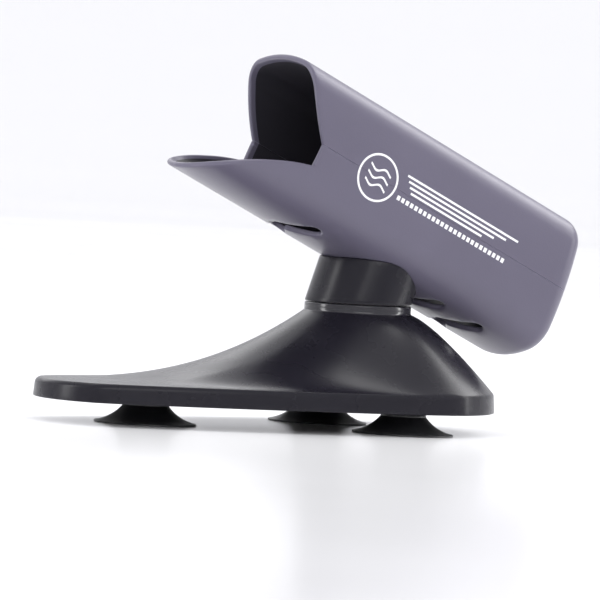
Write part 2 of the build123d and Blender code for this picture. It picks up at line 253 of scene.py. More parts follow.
class HolderFinish(PropertyGroup):
    """The finishes of the plastic, rubber and metal."""

    tube_colour: colour_prop("Tube", "Satin plastic of the tube", (0.128, 0.118, 0.165))
    # The inside is the tube's own plastic, darkened as painted shade for the inside that little light reaches
    inside_colour: colour_prop(
        "Inside", "Unpolished dark inside of the tube", (0.028, 0.026, 0.034),
    )
    base_colour: colour_prop("Base", "Satin plastic of the base and neck", (0.012, 0.011, 0.0165))
    rubber_colour: colour_prop("Rubber", "Rubber of the cups", (0.012, 0.012, 0.014))
    acetal_colour: colour_prop(
        "Bearings", "Slippery plastic of the bush and washer", (0.82, 0.81, 0.77),
    )
    steel_colour: colour_prop("Steel", "Plated steel of the fasteners", (0.62, 0.62, 0.60))
    ink_colour: colour_prop("Ink", "Printed pattern", (0.90, 0.90, 0.91))


class HolderStageSizes(PropertyGroup):
    """Camera and light."""

    lens: FloatProperty(name="Lens", description="Focal length in millimetres", default=327.75)
    distance: length_prop("Distance", "Camera to aim point", 2.7)
    turn: angle_prop("Turn", "How far the camera goes round to the mouth's side", 32.0)
    fall: angle_prop("Fall", "How far the camera looks down", 1.829)
    roll: angle_prop("Roll", "Tilt of the camera about its own view", 3.219)
    aim: place_prop("Aim", "Aim point, from the swivel axis and table", (-0.03398, 0.0, 0.06262))


# ---------------------------------------------------------------- small tools


def put_in_scene(name, mesh):
    """A new object for a mesh, at the origin."""
    piece = bpy.data.objects.new(name, mesh)
    bpy.context.scene.collection.objects.link(piece)
    return piece


def grid_faces(rows, columns, wrap_rows, wrap_columns):
    """Four-sided faces over a grid of points numbered row by row."""
    first_rows = np.arange(rows if wrap_rows else rows - 1)
    first_columns = np.arange(columns if wrap_columns else columns - 1)
    row, column = np.meshgrid(first_rows, first_columns, indexing="ij")
    next_row = (row + 1) % rows
    next_column = (column + 1) % columns
    corners = [row * columns + column, row * columns + next_column]
    corners += [next_row * columns + next_column, next_row * columns + column]
    return np.stack([corner.ravel() for corner in corners], axis=1).tolist()


def settle_mesh(mesh, sharp_angle=38.0):
    """Welds doubles, turns the faces outwards and shades them smooth up to an angle."""
    work = bmesh.new()
    work.from_mesh(mesh)
    bmesh.ops.remove_doubles(work, verts=work.verts, dist=1e-7)
    bmesh.ops.dissolve_degenerate(work, edges=work.edges, dist=1e-8)
    bmesh.ops.recalc_face_normals(work, faces=work.faces)
    if work.calc_volume(signed=True) < 0.0:
        bmesh.ops.reverse_faces(work, faces=work.faces)
    work.to_mesh(mesh)
    work.free()
    mesh.shade_smooth()
    mesh.set_sharp_from_angle(angle=math.radians(sharp_angle))
    return mesh


def bake_modifiers(piece):
    """Swaps the piece's mesh for the finished one and takes its modifiers away."""
    graph = bpy.context.evaluated_depsgraph_get()
    finished = bpy.data.meshes.new_from_object(piece.evaluated_get(graph), depsgraph=graph)
    rough = piece.data
    piece.modifiers.clear()
    piece.data = finished
    bpy.data.meshes.remove(rough)
    finished.name = piece.name
    return finished


def mesh_from_rows(name, rows, faces):
    """A mesh of rows of points, joined by the given faces."""
    mesh = bpy.data.meshes.new(name)
    mesh.from_pydata(np.stack(rows).reshape(-1, 3).tolist(), [], faces)
    return mesh


def combine(piece, tool, operation):
    """Adds a closed tool object to a piece, or takes it away, and drops the tool."""
    step = piece.modifiers.new("Shape", "BOOLEAN")
    step.operation = operation
    step.solver = "EXACT"
    step.object = tool
    bake_modifiers(piece)
    bpy.data.objects.remove(tool)


def run_tree(piece, tree, values):
    """Runs a geometry tree on a piece with the given inputs and keeps the plain result."""
    modifier = piece.modifiers.new(tree.name, "NODES")
    modifier.node_group = tree
    for item in tree.interface.items_tree:
        if item.in_out == "INPUT" and item.name in values:
            modifier[item.identifier] = values[item.name]
    piece.update_tag()
    return bake_modifiers(piece)


def new_tree(name, inputs, output):
    """An empty geometry tree with its sockets, given as names and kinds."""
    tree = bpy.data.node_groups.new(name, "GeometryNodeTree")
    for label, kind in inputs:
        tree.interface.new_socket(label, in_out="INPUT", socket_type="NodeSocket" + kind)
    tree.interface.new_socket(output, in_out="OUTPUT", socket_type="NodeSocketGeometry")
    return tree


def spread_nodes(tree, across):
    """Sets the nodes of a tree out in rows, from its input at the left to its output."""
    inner = [node for node in tree.nodes if node.type not in {"GROUP_INPUT", "GROUP_OUTPUT"}]
    for step, node in enumerate(inner):
        node.location = (200 * (step % across), 300 - 260 * (step // across))
    tree.nodes["Group Input"].location = (-250, 0)
    tree.nodes["Group Output"].location = (200 * across + 50, 0)


def wire_up(tree, wires):
    """Links the nodes of a tree; a wire is a node, its output, another node and its input."""
    for source, output, target, socket in wires:
        tree.links.new(source.outputs[output], target.inputs[socket])


def points_mesh(name, points):
    """A mesh of loose points, as places for a tree to fill."""
    mesh = bpy.data.meshes.new(name)
    mesh.from_pydata([tuple(point) for point in points], [], [])
    return mesh


def smooth_step(value):
    """0 before 0, 1 after 1, and a smooth rise between."""
    value = np.clip(value, 0.0, 1.0)
    return value * value * (3.0 - 2.0 * value)


def circle_through(first, second, third):
    """Middle and radius of the circle through three points of a plane."""
    (ax, ay), (bx, by), (cx, cy) = first, second, third
    twice = 2.0 * (ax * (by - cy) + bx * (cy - ay) + cx * (ay - by))
    a2, b2, c2 = ax * ax + ay * ay, bx * bx + by * by, cx * cx + cy * cy
    middle_x = (a2 * (by - cy) + b2 * (cy - ay) + c2 * (ay - by)) / twice
    middle_y = (a2 * (cx - bx) + b2 * (ax - cx) + c2 * (bx - ax)) / twice
    return (middle_x, middle_y), math.hypot(ax - middle_x, ay - middle_y)


def quarter(radius, steps):
    """Inset and setback of points round a quarter circle that starts along the face."""
    turns = [math.pi / 2.0 * step / steps for step in range(steps + 1)]
    return [(radius * (1.0 - math.cos(turn)), radius * (1.0 - math.sin(turn))) for turn in turns]


# ---------------------------------------------------------------- finishes


def empty_material(name):
    """A material with no nodes yet."""
    material = bpy.data.materials.new(name)
    material.use_nodes = True
    material.node_tree.nodes.clear()
    return material


def moulded_plastic(
    name, colour, darker, roughness, swing, grain, grain_depth, edge_lift, coat, shine,
):
    """Moulded plastic: fine mould grain, slow colour drift, uneven polish and paler edges."""
    material = empty_material(name)
    nodes, links = material.node_tree.nodes, material.node_tree.links

    place = nodes.new("ShaderNodeTexCoord")
    place.label = "Place on the piece"
    along = nodes.new("ShaderNodeMapping")
    along.label = "Lay along the tube"
    along.inputs["Rotation"].default_value = (0.0, math.radians(24.2), 0.0)
    grain_noise = nodes.new("ShaderNodeTexNoise")
    grain_noise.label = "Spark-eroded grain"
    grain_noise.inputs["Scale"].default_value = grain
    grain_noise.inputs["Detail"].default_value = 3.0
    grain_noise.inputs["Roughness"].default_value = 0.62
    grain_cells = nodes.new("ShaderNodeTexVoronoi")
    grain_cells.label = "Grain pits"
    grain_cells.inputs["Scale"].default_value = grain * 0.8
    grain_mix = nodes.new("ShaderNodeMix")
    grain_mix.label = "Grain with pits"
    grain_mix.data_type = "FLOAT"
    grain_mix.inputs["Factor"].default_value = 0.35
    grain_bump = nodes.new("ShaderNodeBump")
    grain_bump.label = "Raise the grain"
    grain_bump.inputs["Strength"].default_value = 0.6
    grain_bump.inputs["Distance"].default_value = grain_depth

    drift_noise = nodes.new("ShaderNodeTexNoise")
    drift_noise.label = "Pigment flow"
    drift_noise.inputs["Scale"].default_value = 17.0
    drift_noise.inputs["Detail"].default_value = 4.0
    drift_noise.inputs["Distortion"].default_value = 0.4
    drift_range = nodes.new("ShaderNodeMapRange")
    drift_range.label = "Amount of drift"
    drift_range.inputs["From Min"].default_value = 0.32
    drift_range.inputs["From Max"].default_value = 0.68
    drift_mix = nodes.new("ShaderNodeMix")
    drift_mix.label = "Plastic colour"
    drift_mix.data_type = "RGBA"
    drift_mix.inputs[6].default_value = (*colour, 1.0)
    drift_mix.inputs[7].default_value = (*[part * darker for part in colour], 1.0)

    polish_noise = nodes.new("ShaderNodeTexNoise")
    polish_noise.label = "Handling haze"
    polish_noise.inputs["Scale"].default_value = 46.0
    polish_noise.inputs["Detail"].default_value = 5.0
    polish_range = nodes.new("ShaderNodeMapRange")
    polish_range.label = "Roughness range"
    polish_range.inputs["From Min"].default_value = 0.3
    polish_range.inputs["From Max"].default_value = 0.7
    polish_range.inputs["To Min"].default_value = roughness - swing
    polish_range.inputs["To Max"].default_value = roughness + swing

    edge_shape = nodes.new("ShaderNodeNewGeometry")
    edge_shape.label = "Edges of the piece"
    edge_range = nodes.new("ShaderNodeMapRange")
    edge_range.label = "Edge width"
    edge_range.inputs["From Min"].default_value = 0.52
    edge_range.inputs["From Max"].default_value = 0.66
    edge_range.inputs["To Max"].default_value = edge_lift
    edge_mix = nodes.new("ShaderNodeMix")
    edge_mix.label = "Lighten edges"
    edge_mix.data_type = "RGBA"
    edge_mix.inputs[7].default_value = (*[min(1.0, part * 2.2 + 0.02) for part in colour], 1.0)

    shader = nodes.new("ShaderNodeBsdfPrincipled")
    shader.label = "Moulded plastic"
    shader.inputs["IOR"].default_value = 1.49
    shader.inputs["Specular IOR Level"].default_value = shine
    shader.inputs["Coat Weight"].default_value = coat
    shader.inputs["Coat Roughness"].default_value = 0.12
    output = nodes.new("ShaderNodeOutputMaterial")
    output.label = "Surface"

    groups = (
        ("Mould grain", (grain_noise, grain_cells, grain_mix, grain_bump)),
        ("Colour drift", (drift_noise, drift_range, drift_mix)),
        ("Uneven polish", (polish_noise, polish_range)),
        ("Paler edges", (edge_shape, edge_range, edge_mix)),
    )
    for label, members in groups:
        group = nodes.new("NodeFrame")
        group.label = label
        for node in members:
            node.parent = group
    rows = (
        (-500, (place, along, grain_noise, grain_cells, grain_mix, grain_bump)),
        (200, (drift_noise, drift_range, drift_mix)),
        (-150, (polish_noise, polish_range)),
        (550, (edge_shape, edge_range, edge_mix, shader, output)),
    )
    for height, row in rows:
        for step, node in enumerate(row):
            node.location = (-1500 + 240 * step, height)

    links.new(place.outputs["Object"], along.inputs["Vector"])
    links.new(along.outputs["Vector"], grain_noise.inputs["Vector"])
    links.new(along.outputs["Vector"], grain_cells.inputs["Vector"])
    links.new(grain_noise.outputs["Fac"], grain_mix.inputs[2])
    links.new(grain_cells.outputs["Distance"], grain_mix.inputs[3])
    links.new(grain_mix.outputs[0], grain_bump.inputs["Height"])
    links.new(along.outputs["Vector"], drift_noise.inputs["Vector"])
    links.new(drift_noise.outputs["Fac"], drift_range.inputs["Value"])
    links.new(drift_range.outputs["Result"], drift_mix.inputs["Factor"])
    links.new(along.outputs["Vector"], polish_noise.inputs["Vector"])
    links.new(polish_noise.outputs["Fac"], polish_range.inputs["Value"])
    links.new(edge_shape.outputs["Pointiness"], edge_range.inputs["Value"])
    links.new(edge_range.outputs["Result"], edge_mix.inputs["Factor"])
    links.new(drift_mix.outputs[2], edge_mix.inputs[6])
    links.new(edge_mix.outputs[2], shader.inputs["Base Color"])
    links.new(polish_range.outputs["Result"], shader.inputs["Roughness"])
    links.new(grain_bump.outputs["Normal"], shader.inputs["Normal"])
    links.new(shader.outputs["BSDF"], output.inputs["Surface"])
    return material


def soft_rubber(name, colour):
    """Black suction-cup rubber: smooth, a little greasy, with mould flow and a trace of dust."""
    material = empty_material(name)
    nodes, links = material.node_tree.nodes, material.node_tree.links

    place = nodes.new("ShaderNodeTexCoord")
    place.label = "Place on the cup"
    dust_noise = nodes.new("ShaderNodeTexNoise")
    dust_noise.label = "Dust specks"
    dust_noise.inputs["Scale"].default_value = 900.0
    dust_noise.inputs["Detail"].default_value = 6.0
    dust_range = nodes.new("ShaderNodeMapRange")
    dust_range.label = "Amount of dust"
    dust_range.inputs["From Min"].default_value = 0.60
    dust_range.inputs["From Max"].default_value = 0.80
    dust_range.inputs["To Max"].default_value = 0.22
    dust_mix = nodes.new("ShaderNodeMix")
    dust_mix.label = "Rubber colour"
    dust_mix.data_type = "RGBA"
    dust_mix.inputs[6].default_value = (*colour, 1.0)
    dust_mix.inputs[7].default_value = (0.10, 0.10, 0.10, 1.0)
    flow_noise = nodes.new("ShaderNodeTexNoise")
    flow_noise.label = "Greasy patches"
    flow_noise.inputs["Scale"].default_value = 70.0
    flow_noise.inputs["Detail"].default_value = 3.0
    flow_range = nodes.new("ShaderNodeMapRange")
    flow_range.label = "Roughness range"
    flow_range.inputs["To Min"].default_value = 0.26
    flow_range.inputs["To Max"].default_value = 0.44
    flow_bump = nodes.new("ShaderNodeBump")
    flow_bump.label = "Soft unevenness"
    flow_bump.inputs["Strength"].default_value = 0.25
    flow_bump.inputs["Distance"].default_value = 0.00008
    shader = nodes.new("ShaderNodeBsdfPrincipled")
    shader.label = "Rubber"
    shader.inputs["IOR"].default_value = 1.52
    shader.inputs["Sheen Weight"].default_value = 0.05
    shader.inputs["Sheen Roughness"].default_value = 0.4
    output = nodes.new("ShaderNodeOutputMaterial")
    output.label = "Surface"

    groups = (
        ("Dust", (dust_noise, dust_range, dust_mix)),
        ("Mould flow", (flow_noise, flow_range, flow_bump)),
    )
    for label, members in groups:
        group = nodes.new("NodeFrame")
        group.label = label
        for node in members:
            node.parent = group
    for height, row in ((200, (place, dust_noise, dust_range, dust_mix)),
                        (-200, (flow_noise, flow_range, flow_bump, shader, output))):
        for step, node in enumerate(row):
            node.location = (-1000 + 240 * step, height)

    links.new(place.outputs["Object"], dust_noise.inputs["Vector"])
    links.new(dust_noise.outputs["Fac"], dust_range.inputs["Value"])
    links.new(dust_range.outputs["Result"], dust_mix.inputs["Factor"])
    links.new(dust_mix.outputs[2], shader.inputs["Base Color"])
    links.new(place.outputs["Object"], flow_noise.inputs["Vector"])
    links.new(flow_noise.outputs["Fac"], flow_range.inputs["Value"])
    links.new(flow_range.outputs["Result"], shader.inputs["Roughness"])
    links.new(flow_noise.outputs["Fac"], flow_bump.inputs["Height"])
    links.new(flow_bump.outputs["Normal"], shader.inputs["Normal"])
    links.new(shader.outputs["BSDF"], output.inputs["Surface"])
    return material


def plated_steel(name, colour):
    """Zinc-plated steel: cloudy passivation, turned tool marks and a satin glint."""
    material = empty_material(name)
    nodes, links = material.node_tree.nodes, material.node_tree.links

    place = nodes.new("ShaderNodeTexCoord")
    place.label = "Place on the part"
    cloud_noise = nodes.new("ShaderNodeTexNoise")
    cloud_noise.label = "Passivation clouds"
    cloud_noise.inputs["Scale"].default_value = 320.0
    cloud_noise.inputs["Detail"].default_value = 4.0
    cloud_ramp = nodes.new("ShaderNodeValToRGB")
    cloud_ramp.label = "Zinc tones"
    cloud_ramp.color_ramp.elements[0].position = 0.3
    cloud_ramp.color_ramp.elements[0].color = (*[part * 0.72 for part in colour], 1.0)
    cloud_ramp.color_ramp.elements[1].position = 0.72
    cloud_ramp.color_ramp.elements[1].color = (*colour, 1.0)
    mark_wave = nodes.new("ShaderNodeTexWave")
    mark_wave.label = "Turning rings"
    mark_wave.wave_type = "RINGS"
    mark_wave.rings_direction = "Z"
    mark_wave.inputs["Scale"].default_value = 1500.0
    mark_wave.inputs["Distortion"].default_value = 2.0
    mark_bump = nodes.new("ShaderNodeBump")
    mark_bump.label = "Ring depth"
    mark_bump.inputs["Strength"].default_value = 0.2
    mark_bump.inputs["Distance"].default_value = 0.00002
    rough_range = nodes.new("ShaderNodeMapRange")
    rough_range.label = "Roughness range"
    rough_range.inputs["To Min"].default_value = 0.24
    rough_range.inputs["To Max"].default_value = 0.46
    shader = nodes.new("ShaderNodeBsdfPrincipled")
    shader.label = "Plated steel"
    shader.inputs["Metallic"].default_value = 1.0
    output = nodes.new("ShaderNodeOutputMaterial")
    output.label = "Surface"

    groups = (
        ("Cloudy plating", (cloud_noise, cloud_ramp, rough_range)),
        ("Tool marks", (mark_wave, mark_bump)),
    )
    for label, members in groups:
        group = nodes.new("NodeFrame")
        group.label = label
        for node in members:
            node.parent = group
    for height, row in ((200, (place, cloud_noise, cloud_ramp, rough_range)),
                        (-200, (mark_wave, mark_bump, shader, output))):
        for step, node in enumerate(row):
            node.location = (-1000 + 260 * step, height)

    links.new(place.outputs["Object"], cloud_noise.inputs["Vector"])
    links.new(cloud_noise.outputs["Fac"], cloud_ramp.inputs["Fac"])
    links.new(cloud_ramp.outputs["Color"], shader.inputs["Base Color"])
    links.new(cloud_noise.outputs["Fac"], rough_range.inputs["Value"])
    links.new(rough_range.outputs["Result"], shader.inputs["Roughness"])
    links.new(place.outputs["Object"], mark_wave.inputs["Vector"])
    links.new(mark_wave.outputs["Fac"], mark_bump.inputs["Height"])
    links.new(mark_bump.outputs["Normal"], shader.inputs["Normal"])
    links.new(shader.outputs["BSDF"], output.inputs["Surface"])
    return material


def printed_ink(name, colour):
    """Pad-printed white ink: matt, with a thin speckle where it sits on the grain."""
    material = empty_material(name)
    nodes, links = material.node_tree.nodes, material.node_tree.links

    speckle_group = nodes.new("NodeFrame")
    speckle_group.label = "Ink speckle"

    place = nodes.new("ShaderNodeTexCoord")
    place.label = "Place on the print"
    speckle_noise = nodes.new("ShaderNodeTexNoise")
    speckle_noise.label = "Grain under the ink"
    speckle_noise.inputs["Scale"].default_value = 1600.0
    speckle_noise.inputs["Detail"].default_value = 3.0
    speckle_ramp = nodes.new("ShaderNodeValToRGB")
    speckle_ramp.label = "Ink tones"
    speckle_ramp.color_ramp.elements[0].position = 0.28
    speckle_ramp.color_ramp.elements[0].color = (*[part * 0.78 for part in colour], 1.0)
    speckle_ramp.color_ramp.elements[1].position = 0.5
    speckle_ramp.color_ramp.elements[1].color = (*colour, 1.0)
    speckle_bump = nodes.new("ShaderNodeBump")
    speckle_bump.label = "Ink thickness"
    speckle_bump.inputs["Strength"].default_value = 0.2
    speckle_bump.inputs["Distance"].default_value = 0.00001
    shader = nodes.new("ShaderNodeBsdfPrincipled")
    shader.label = "Ink"
    shader.inputs["Roughness"].default_value = 0.5
    output = nodes.new("ShaderNodeOutputMaterial")
    output.label = "Surface"

    for node in (speckle_noise, speckle_ramp, speckle_bump):
        node.parent = speckle_group
    for step, node in enumerate((place, speckle_noise, speckle_ramp, speckle_bump, shader, output)):
        node.location = (-1000 + 260 * step, 0)

    links.new(place.outputs["Object"], speckle_noise.inputs["Vector"])
    links.new(speckle_noise.outputs["Fac"], speckle_ramp.inputs["Fac"])
    links.new(speckle_ramp.outputs["Color"], shader.inputs["Base Color"])
    links.new(speckle_noise.outputs["Fac"], speckle_bump.inputs["Height"])
    links.new(speckle_bump.outputs["Normal"], shader.inputs["Normal"])
    links.new(shader.outputs["BSDF"], output.inputs["Surface"])
    return material


def white_sweep(name):
    """Plain pale studio floor with a faint polish."""
    material = empty_material(name)
    nodes, links = material.node_tree.nodes, material.node_tree.links

    polish_group = nodes.new("NodeFrame")
    polish_group.label = "Faint polish"

    place = nodes.new("ShaderNodeTexCoord")
    place.label = "Place on the floor"
    polish_noise = nodes.new("ShaderNodeTexNoise")
    polish_noise.label = "Slow unevenness"
    polish_noise.inputs["Scale"].default_value = 3.0
    polish_range = nodes.new("ShaderNodeMapRange")
    polish_range.label = "Roughness range"
    polish_range.inputs["To Min"].default_value = 0.16
    polish_range.inputs["To Max"].default_value = 0.20
    shader = nodes.new("ShaderNodeBsdfPrincipled")
    shader.label = "Pale floor"
    shader.inputs["Base Color"].default_value = (0.97, 0.97, 0.97, 1.0)
    shader.inputs["Specular IOR Level"].default_value = 0.3
    output = nodes.new("ShaderNodeOutputMaterial")
    output.label = "Surface"

    for node in (polish_noise, polish_range):
        node.parent = polish_group
    for step, node in enumerate((place, polish_noise, polish_range, shader, output)):
        node.location = (-900 + 240 * step, 0)

    links.new(place.outputs["Object"], polish_noise.inputs["Vector"])
    links.new(polish_noise.outputs["Fac"], polish_range.inputs["Value"])
    links.new(polish_range.outputs["Result"], shader.inputs["Roughness"])
    links.new(shader.outputs["BSDF"], output.inputs["Surface"])
    return material


# For each plastic: its colour, darkest drift, roughness and its swing, grain and its depth,
# edge lift, coat and shine.
PLASTICS = {
    "tube_plastic": ("tube_colour", 0.93, 0.34, 0.03, 1300.0, 0.00009, 0.5, 0.0, 0.32),
    # tube_inside: the tube plastic darkened as painted shade for the tube's unlit inside, a little rougher
    "tube_inside": ("inside_colour", 0.80, 0.46, 0.03, 1500.0, 0.00004, 0.1, 0.0, 0.3),
    "base_plastic": ("base_colour", 0.85, 0.27, 0.02, 1900.0, 0.00001, 0.35, 0.0, 0.22),
    "collar_polish": ("base_colour", 0.95, 0.17, 0.02, 1900.0, 0.000004, 0.2, 0.3, 0.4),
    "acetal": ("acetal_colour", 0.96, 0.38, 0.03, 1200.0, 0.00001, 0.1, 0.0, 0.5),
}
OTHER_FINISHES = {
    "cup_rubber": (soft_rubber, "rubber_colour"),
    "zinc_steel": (plated_steel, "steel_colour"),
    "print_ink": (printed_ink, "ink_colour"),
}


def finish_for(key):
    """The named finish, made once."""
    name = "holder_" + key
    known = bpy.data.materials.get(name)
    if known:
        return known
    finish = bpy.context.scene.holder_finish
    if key in PLASTICS:
        colour, *settings = PLASTICS[key]
        return moulded_plastic(name, tuple(getattr(finish, colour)), *settings)
    make, colour = OTHER_FINISHES[key]
    return make(name, tuple(getattr(finish, colour)))


# ---------------------------------------------------------------- base cover


def base_outline(sizes, heel_x, heel_r, toe_x, toe_r, z):
    """A level outline of the base: heel arc, full sides and toe arc, about the swivel axis."""
    angle = np.arange(sizes.columns) * 2.0 * math.pi / sizes.columns
    from_heel = np.minimum(angle, 2.0 * math.pi - angle)
    share = smooth_step((from_heel - sizes.side_start) / sizes.side_sweep)
    middle = heel_x + (toe_x - heel_x) * share
    radius = heel_r + (toe_r - heel_r) * share
    height = np.broadcast_to(z, (sizes.columns,))
    x, y = SWIVEL_X + middle + radius * np.cos(angle), radius * np.sin(angle)
    return np.stack([x, y, height], axis=1)


def sweep_outline(sizes, depth, inset):
    """The outline of the sweep at a depth from 0, the collar, to 1, the rim.

    The depth is one number, or one for each column.
    """
    heel = depth ** sizes.heel_fullness
    toe = 1.0 - (1.0 - depth) ** sizes.toe_hollow
    crown = sizes.crown_radius
    heel_r = crown + (sizes.heel_radius - sizes.band_lean - crown) * heel - inset
    toe_r = crown + (sizes.toe_radius - sizes.band_lean - crown) * toe - inset
    rim_z = sizes.edge_height + sizes.band_height
    z = sizes.crown_height + (rim_z - sizes.crown_height) * depth - inset
    return base_outline(sizes, sizes.heel_offset * heel, heel_r, sizes.toe_offset * toe, toe_r, z)


def band_outline(sizes, share, inset, z):
    """The rim band's outline, from 0 at its foot to 1 at its top."""
    lean = sizes.band_lean * share + inset
    heel_r, toe_r = sizes.heel_radius - lean, sizes.toe_radius - lean
    return base_outline(sizes, sizes.heel_offset, heel_r, sizes.toe_offset, toe_r, z)


def ring(sizes, radius, z):
    """A level circle about the swivel axis, with the cover's columns."""
    return base_outline(sizes, 0.0, radius, 0.0, radius, z)


def rim_rows(sizes, steps=10):
    """The rounding between sweep and band, worked out column by column."""
    depths = 1.0 - (1.0 - np.linspace(0.0, 1.0, 241)) ** 2
    sweep = np.stack([sweep_outline(sizes, depth, 0.0) for depth in depths])
    corner = sweep[-1]
    foot = band_outline(sizes, 0.0, 0.0, sizes.edge_height)
    down = foot - corner
    down /= np.linalg.norm(down, axis=1)[:, None]
    before = sweep[-14]
    inward = before - corner
    inward /= np.linalg.norm(inward, axis=1)[:, None]
    opening = np.arccos(np.clip((down * inward).sum(axis=1), -1.0, 1.0))
    turn = math.pi - opening
    reach = sizes.rim_round * np.tan(turn / 2.0)
    span = np.linalg.norm(sweep - corner[None], axis=2)
    start = np.empty_like(corner)
    share = np.empty(len(corner))
    for column in range(len(corner)):
        order = np.argsort(span[:, column])
        share[column] = np.interp(reach[column], span[order, column], depths[order])
        for part in range(3):
            line = sweep[order, column, part]
            start[column, part] = np.interp(reach[column], span[order, column], line)
    end = corner + down * reach[:, None]
    weight = np.cos(turn / 2.0)[:, None]
    rows = []
    for step in range(steps + 1):
        t = step / steps
        a, b, c = (1.0 - t) ** 2, 2.0 * t * (1.0 - t) * weight, t * t
        rows.append((a * start + b * corner + c * end) / (a + b + c))
    return rows, share


def base_cover_rows(sizes):
    """All rows of the cover, from the collar over the outside and back up inside."""
    crown_z = sizes.crown_height
    rows = []
    lip = 0.0007
    rows.append(ring(sizes, sizes.washer_seat_radius, COLLAR_TOP))
    for back, drop in quarter(lip, 4):
        rows.append(ring(sizes, sizes.collar_radius - drop, COLLAR_TOP - back))
    for growth, rise in ((0.0, 0.0024), (0.0, 0.0012), (0.00010, 0.0006), (0.00035, 0.00018)):
        rows.append(ring(sizes, sizes.collar_radius + growth, crown_z + rise))
    rounding, share = rim_rows(sizes)
    levels = 54
    for level in range(levels):
        depth = (1.0 - (1.0 - (level + 0.25) / (levels + 0.25)) ** 2) * share
        rows.append(sweep_outline(sizes, depth, 0.0))
    rows.extend(rounding)
    edge = sizes.edge_height
    foot_round = 0.0007
    for height in (0.0045, 0.0025, foot_round):
        rows.append(band_outline(sizes, height / sizes.band_height, 0.0, edge + height))
    for inset, drop in quarter(foot_round, 3)[1:]:
        rows.append(band_outline(sizes, 0.0, inset, edge + drop))
    rows.append(band_outline(sizes, 0.0, sizes.wall - 0.0003, edge))
    rows.append(band_outline(sizes, 0.0, sizes.wall, edge + 0.0003))
    inner_z = edge + sizes.band_height - sizes.wall
    rows.append(band_outline(sizes, 1.0, sizes.wall, inner_z))
    for level in range(24, -1, -1):
        depth = 1.0 - (1.0 - level / 25.0) ** 2
        rows.append(sweep_outline(sizes, depth, sizes.wall))
    collar_floor = 0.0046
    floor_z, seat_z = COLLAR_TOP - collar_floor, COLLAR_TOP - sizes.washer_seat_depth
    well = sizes.crown_radius - sizes.wall - 0.0012
    rows += [ring(sizes, well, height) for height in (crown_z - sizes.wall, floor_z)]
    rows += [ring(sizes, sizes.bush_radius, height) for height in (floor_z, seat_z)]
    rows.append(ring(sizes, sizes.washer_seat_radius, seat_z))
    return rows


class HOLDER_OT_base_cover(Operator):
    """Build the swept cover with its rim band and polished collar"""

    bl_idname = "holder.base_cover"
    bl_label = "Base cover"
    bl_options = {"REGISTER", "UNDO"}

    def execute(self, context):
        sizes = context.scene.holder_base
        rows = base_cover_rows(sizes)
        faces = grid_faces(len(rows), sizes.columns, True, True)
        mesh = settle_mesh(mesh_from_rows("base_cover", rows, faces))
        mesh.materials.append(finish_for("base_plastic"))
        mesh.materials.append(finish_for("collar_polish"))
        low = sizes.crown_height + 0.0001
        reach = sizes.collar_radius + 0.0005
        for face in mesh.polygons:
            away = math.hypot(face.center.x - SWIVEL_X, face.center.y)
            if face.center.z > low and away < reach:
                face.material_index = 1
        cover = put_in_scene("base_cover", mesh)
        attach(cover, "base")
        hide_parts("base_shell")
        return {"FINISHED"}


# ---------------------------------------------------------------- tube


MOUTH_STEPS = 5  # facets across each rounding of the mouth's edge


def section_halves(sizes, upper):
    """Points and outward directions round one half of the tube, from -Y over to +Y."""
    side_r, half = sizes.side_arc, sizes.half_width
    if upper:
        face_r, reach, corner_r, sign = sizes.crown_arc, sizes.crown, sizes.crown_corner, 1.0
    else:
        face_r, reach, corner_r, sign = sizes.keel_arc, sizes.keel, sizes.keel_corner, -1.0
    face_middle = reach - face_r
    side_middle = half - side_r
    a, b = face_r - corner_r, side_r - corner_r
    gap = math.hypot(side_middle, face_middle)
    share = (a * a - b * b + gap * gap) / (2.0 * gap)
    rise = math.sqrt(a * a - share * share)
    ux, uy = side_middle / gap, -face_middle / gap
    first = (share * ux - rise * uy, face_middle + share * uy + rise * ux)
    second = (share * ux + rise * uy, face_middle + share * uy - rise * ux)
    corner = max((first, second))
    face_turn = math.atan2(corner[1] - face_middle, corner[0])
    side_turn = math.atan2(corner[1], corner[0] - side_middle)
    turns, middles, radii = [], [], []
    fine = [0.0, sizes.seam * 1.3 / side_r]
    side_steps = fine + list(np.linspace(side_turn / 30.0, side_turn, 30))
    for turn in side_steps:
        turns.append(turn)
        middles.append((side_middle, 0.0))
        radii.append(side_r)
    for step in range(1, 17):
        turns.append(side_turn + (face_turn - side_turn) * step / 16.0)
        middles.append(corner)
        radii.append(corner_r)
    for step in range(1, 17):
        turns.append(face_turn + (math.pi / 2.0 - face_turn) * step / 16.0)
        middles.append((0.0, face_middle))
        radii.append(face_r)
    turns, middles, radii = np.array(turns), np.array(middles), np.array(radii)
    normals = np.stack([np.cos(turns), np.sin(turns)], axis=1)
    points = middles + normals * radii[:, None]
    points[:, 1] *= sign
    normals[:, 1] *= sign
    left_points, left_normals = points * (-1.0, 1.0), normals * (-1.0, 1.0)
    points = np.concatenate([left_points, points[-2::-1]])
    normals = np.concatenate([left_normals, normals[-2::-1]])
    return points, normals


def to_tube(sizes, point):
    """A point of the side profile, given from the swivel axis and table, on the tube's own axes."""
    x, z = point[0] - sizes.notch_x, point[1] - sizes.notch_z
    cos, sin = math.cos(sizes.slope), math.sin(sizes.slope)
    return x * cos - z * sin, x * sin + z * cos


def arc_samples(first, second, third, count=400):
    """Points along the arc through three points."""
    (mx, mz), radius = circle_through(first, second, third)
    start = math.atan2(first[1] - mz, first[0] - mx)
    middle = math.atan2(second[1] - mz, second[0] - mx)
    end = math.atan2(third[1] - mz, third[0] - mx)
    sweep = (end - start) % (2.0 * math.pi)
    if (middle - start) % (2.0 * math.pi) > sweep:
        sweep -= 2.0 * math.pi
    turns = start + sweep * np.linspace(0.0, 1.0, count)
    return mx + radius * np.cos(turns), mz + radius * np.sin(turns)


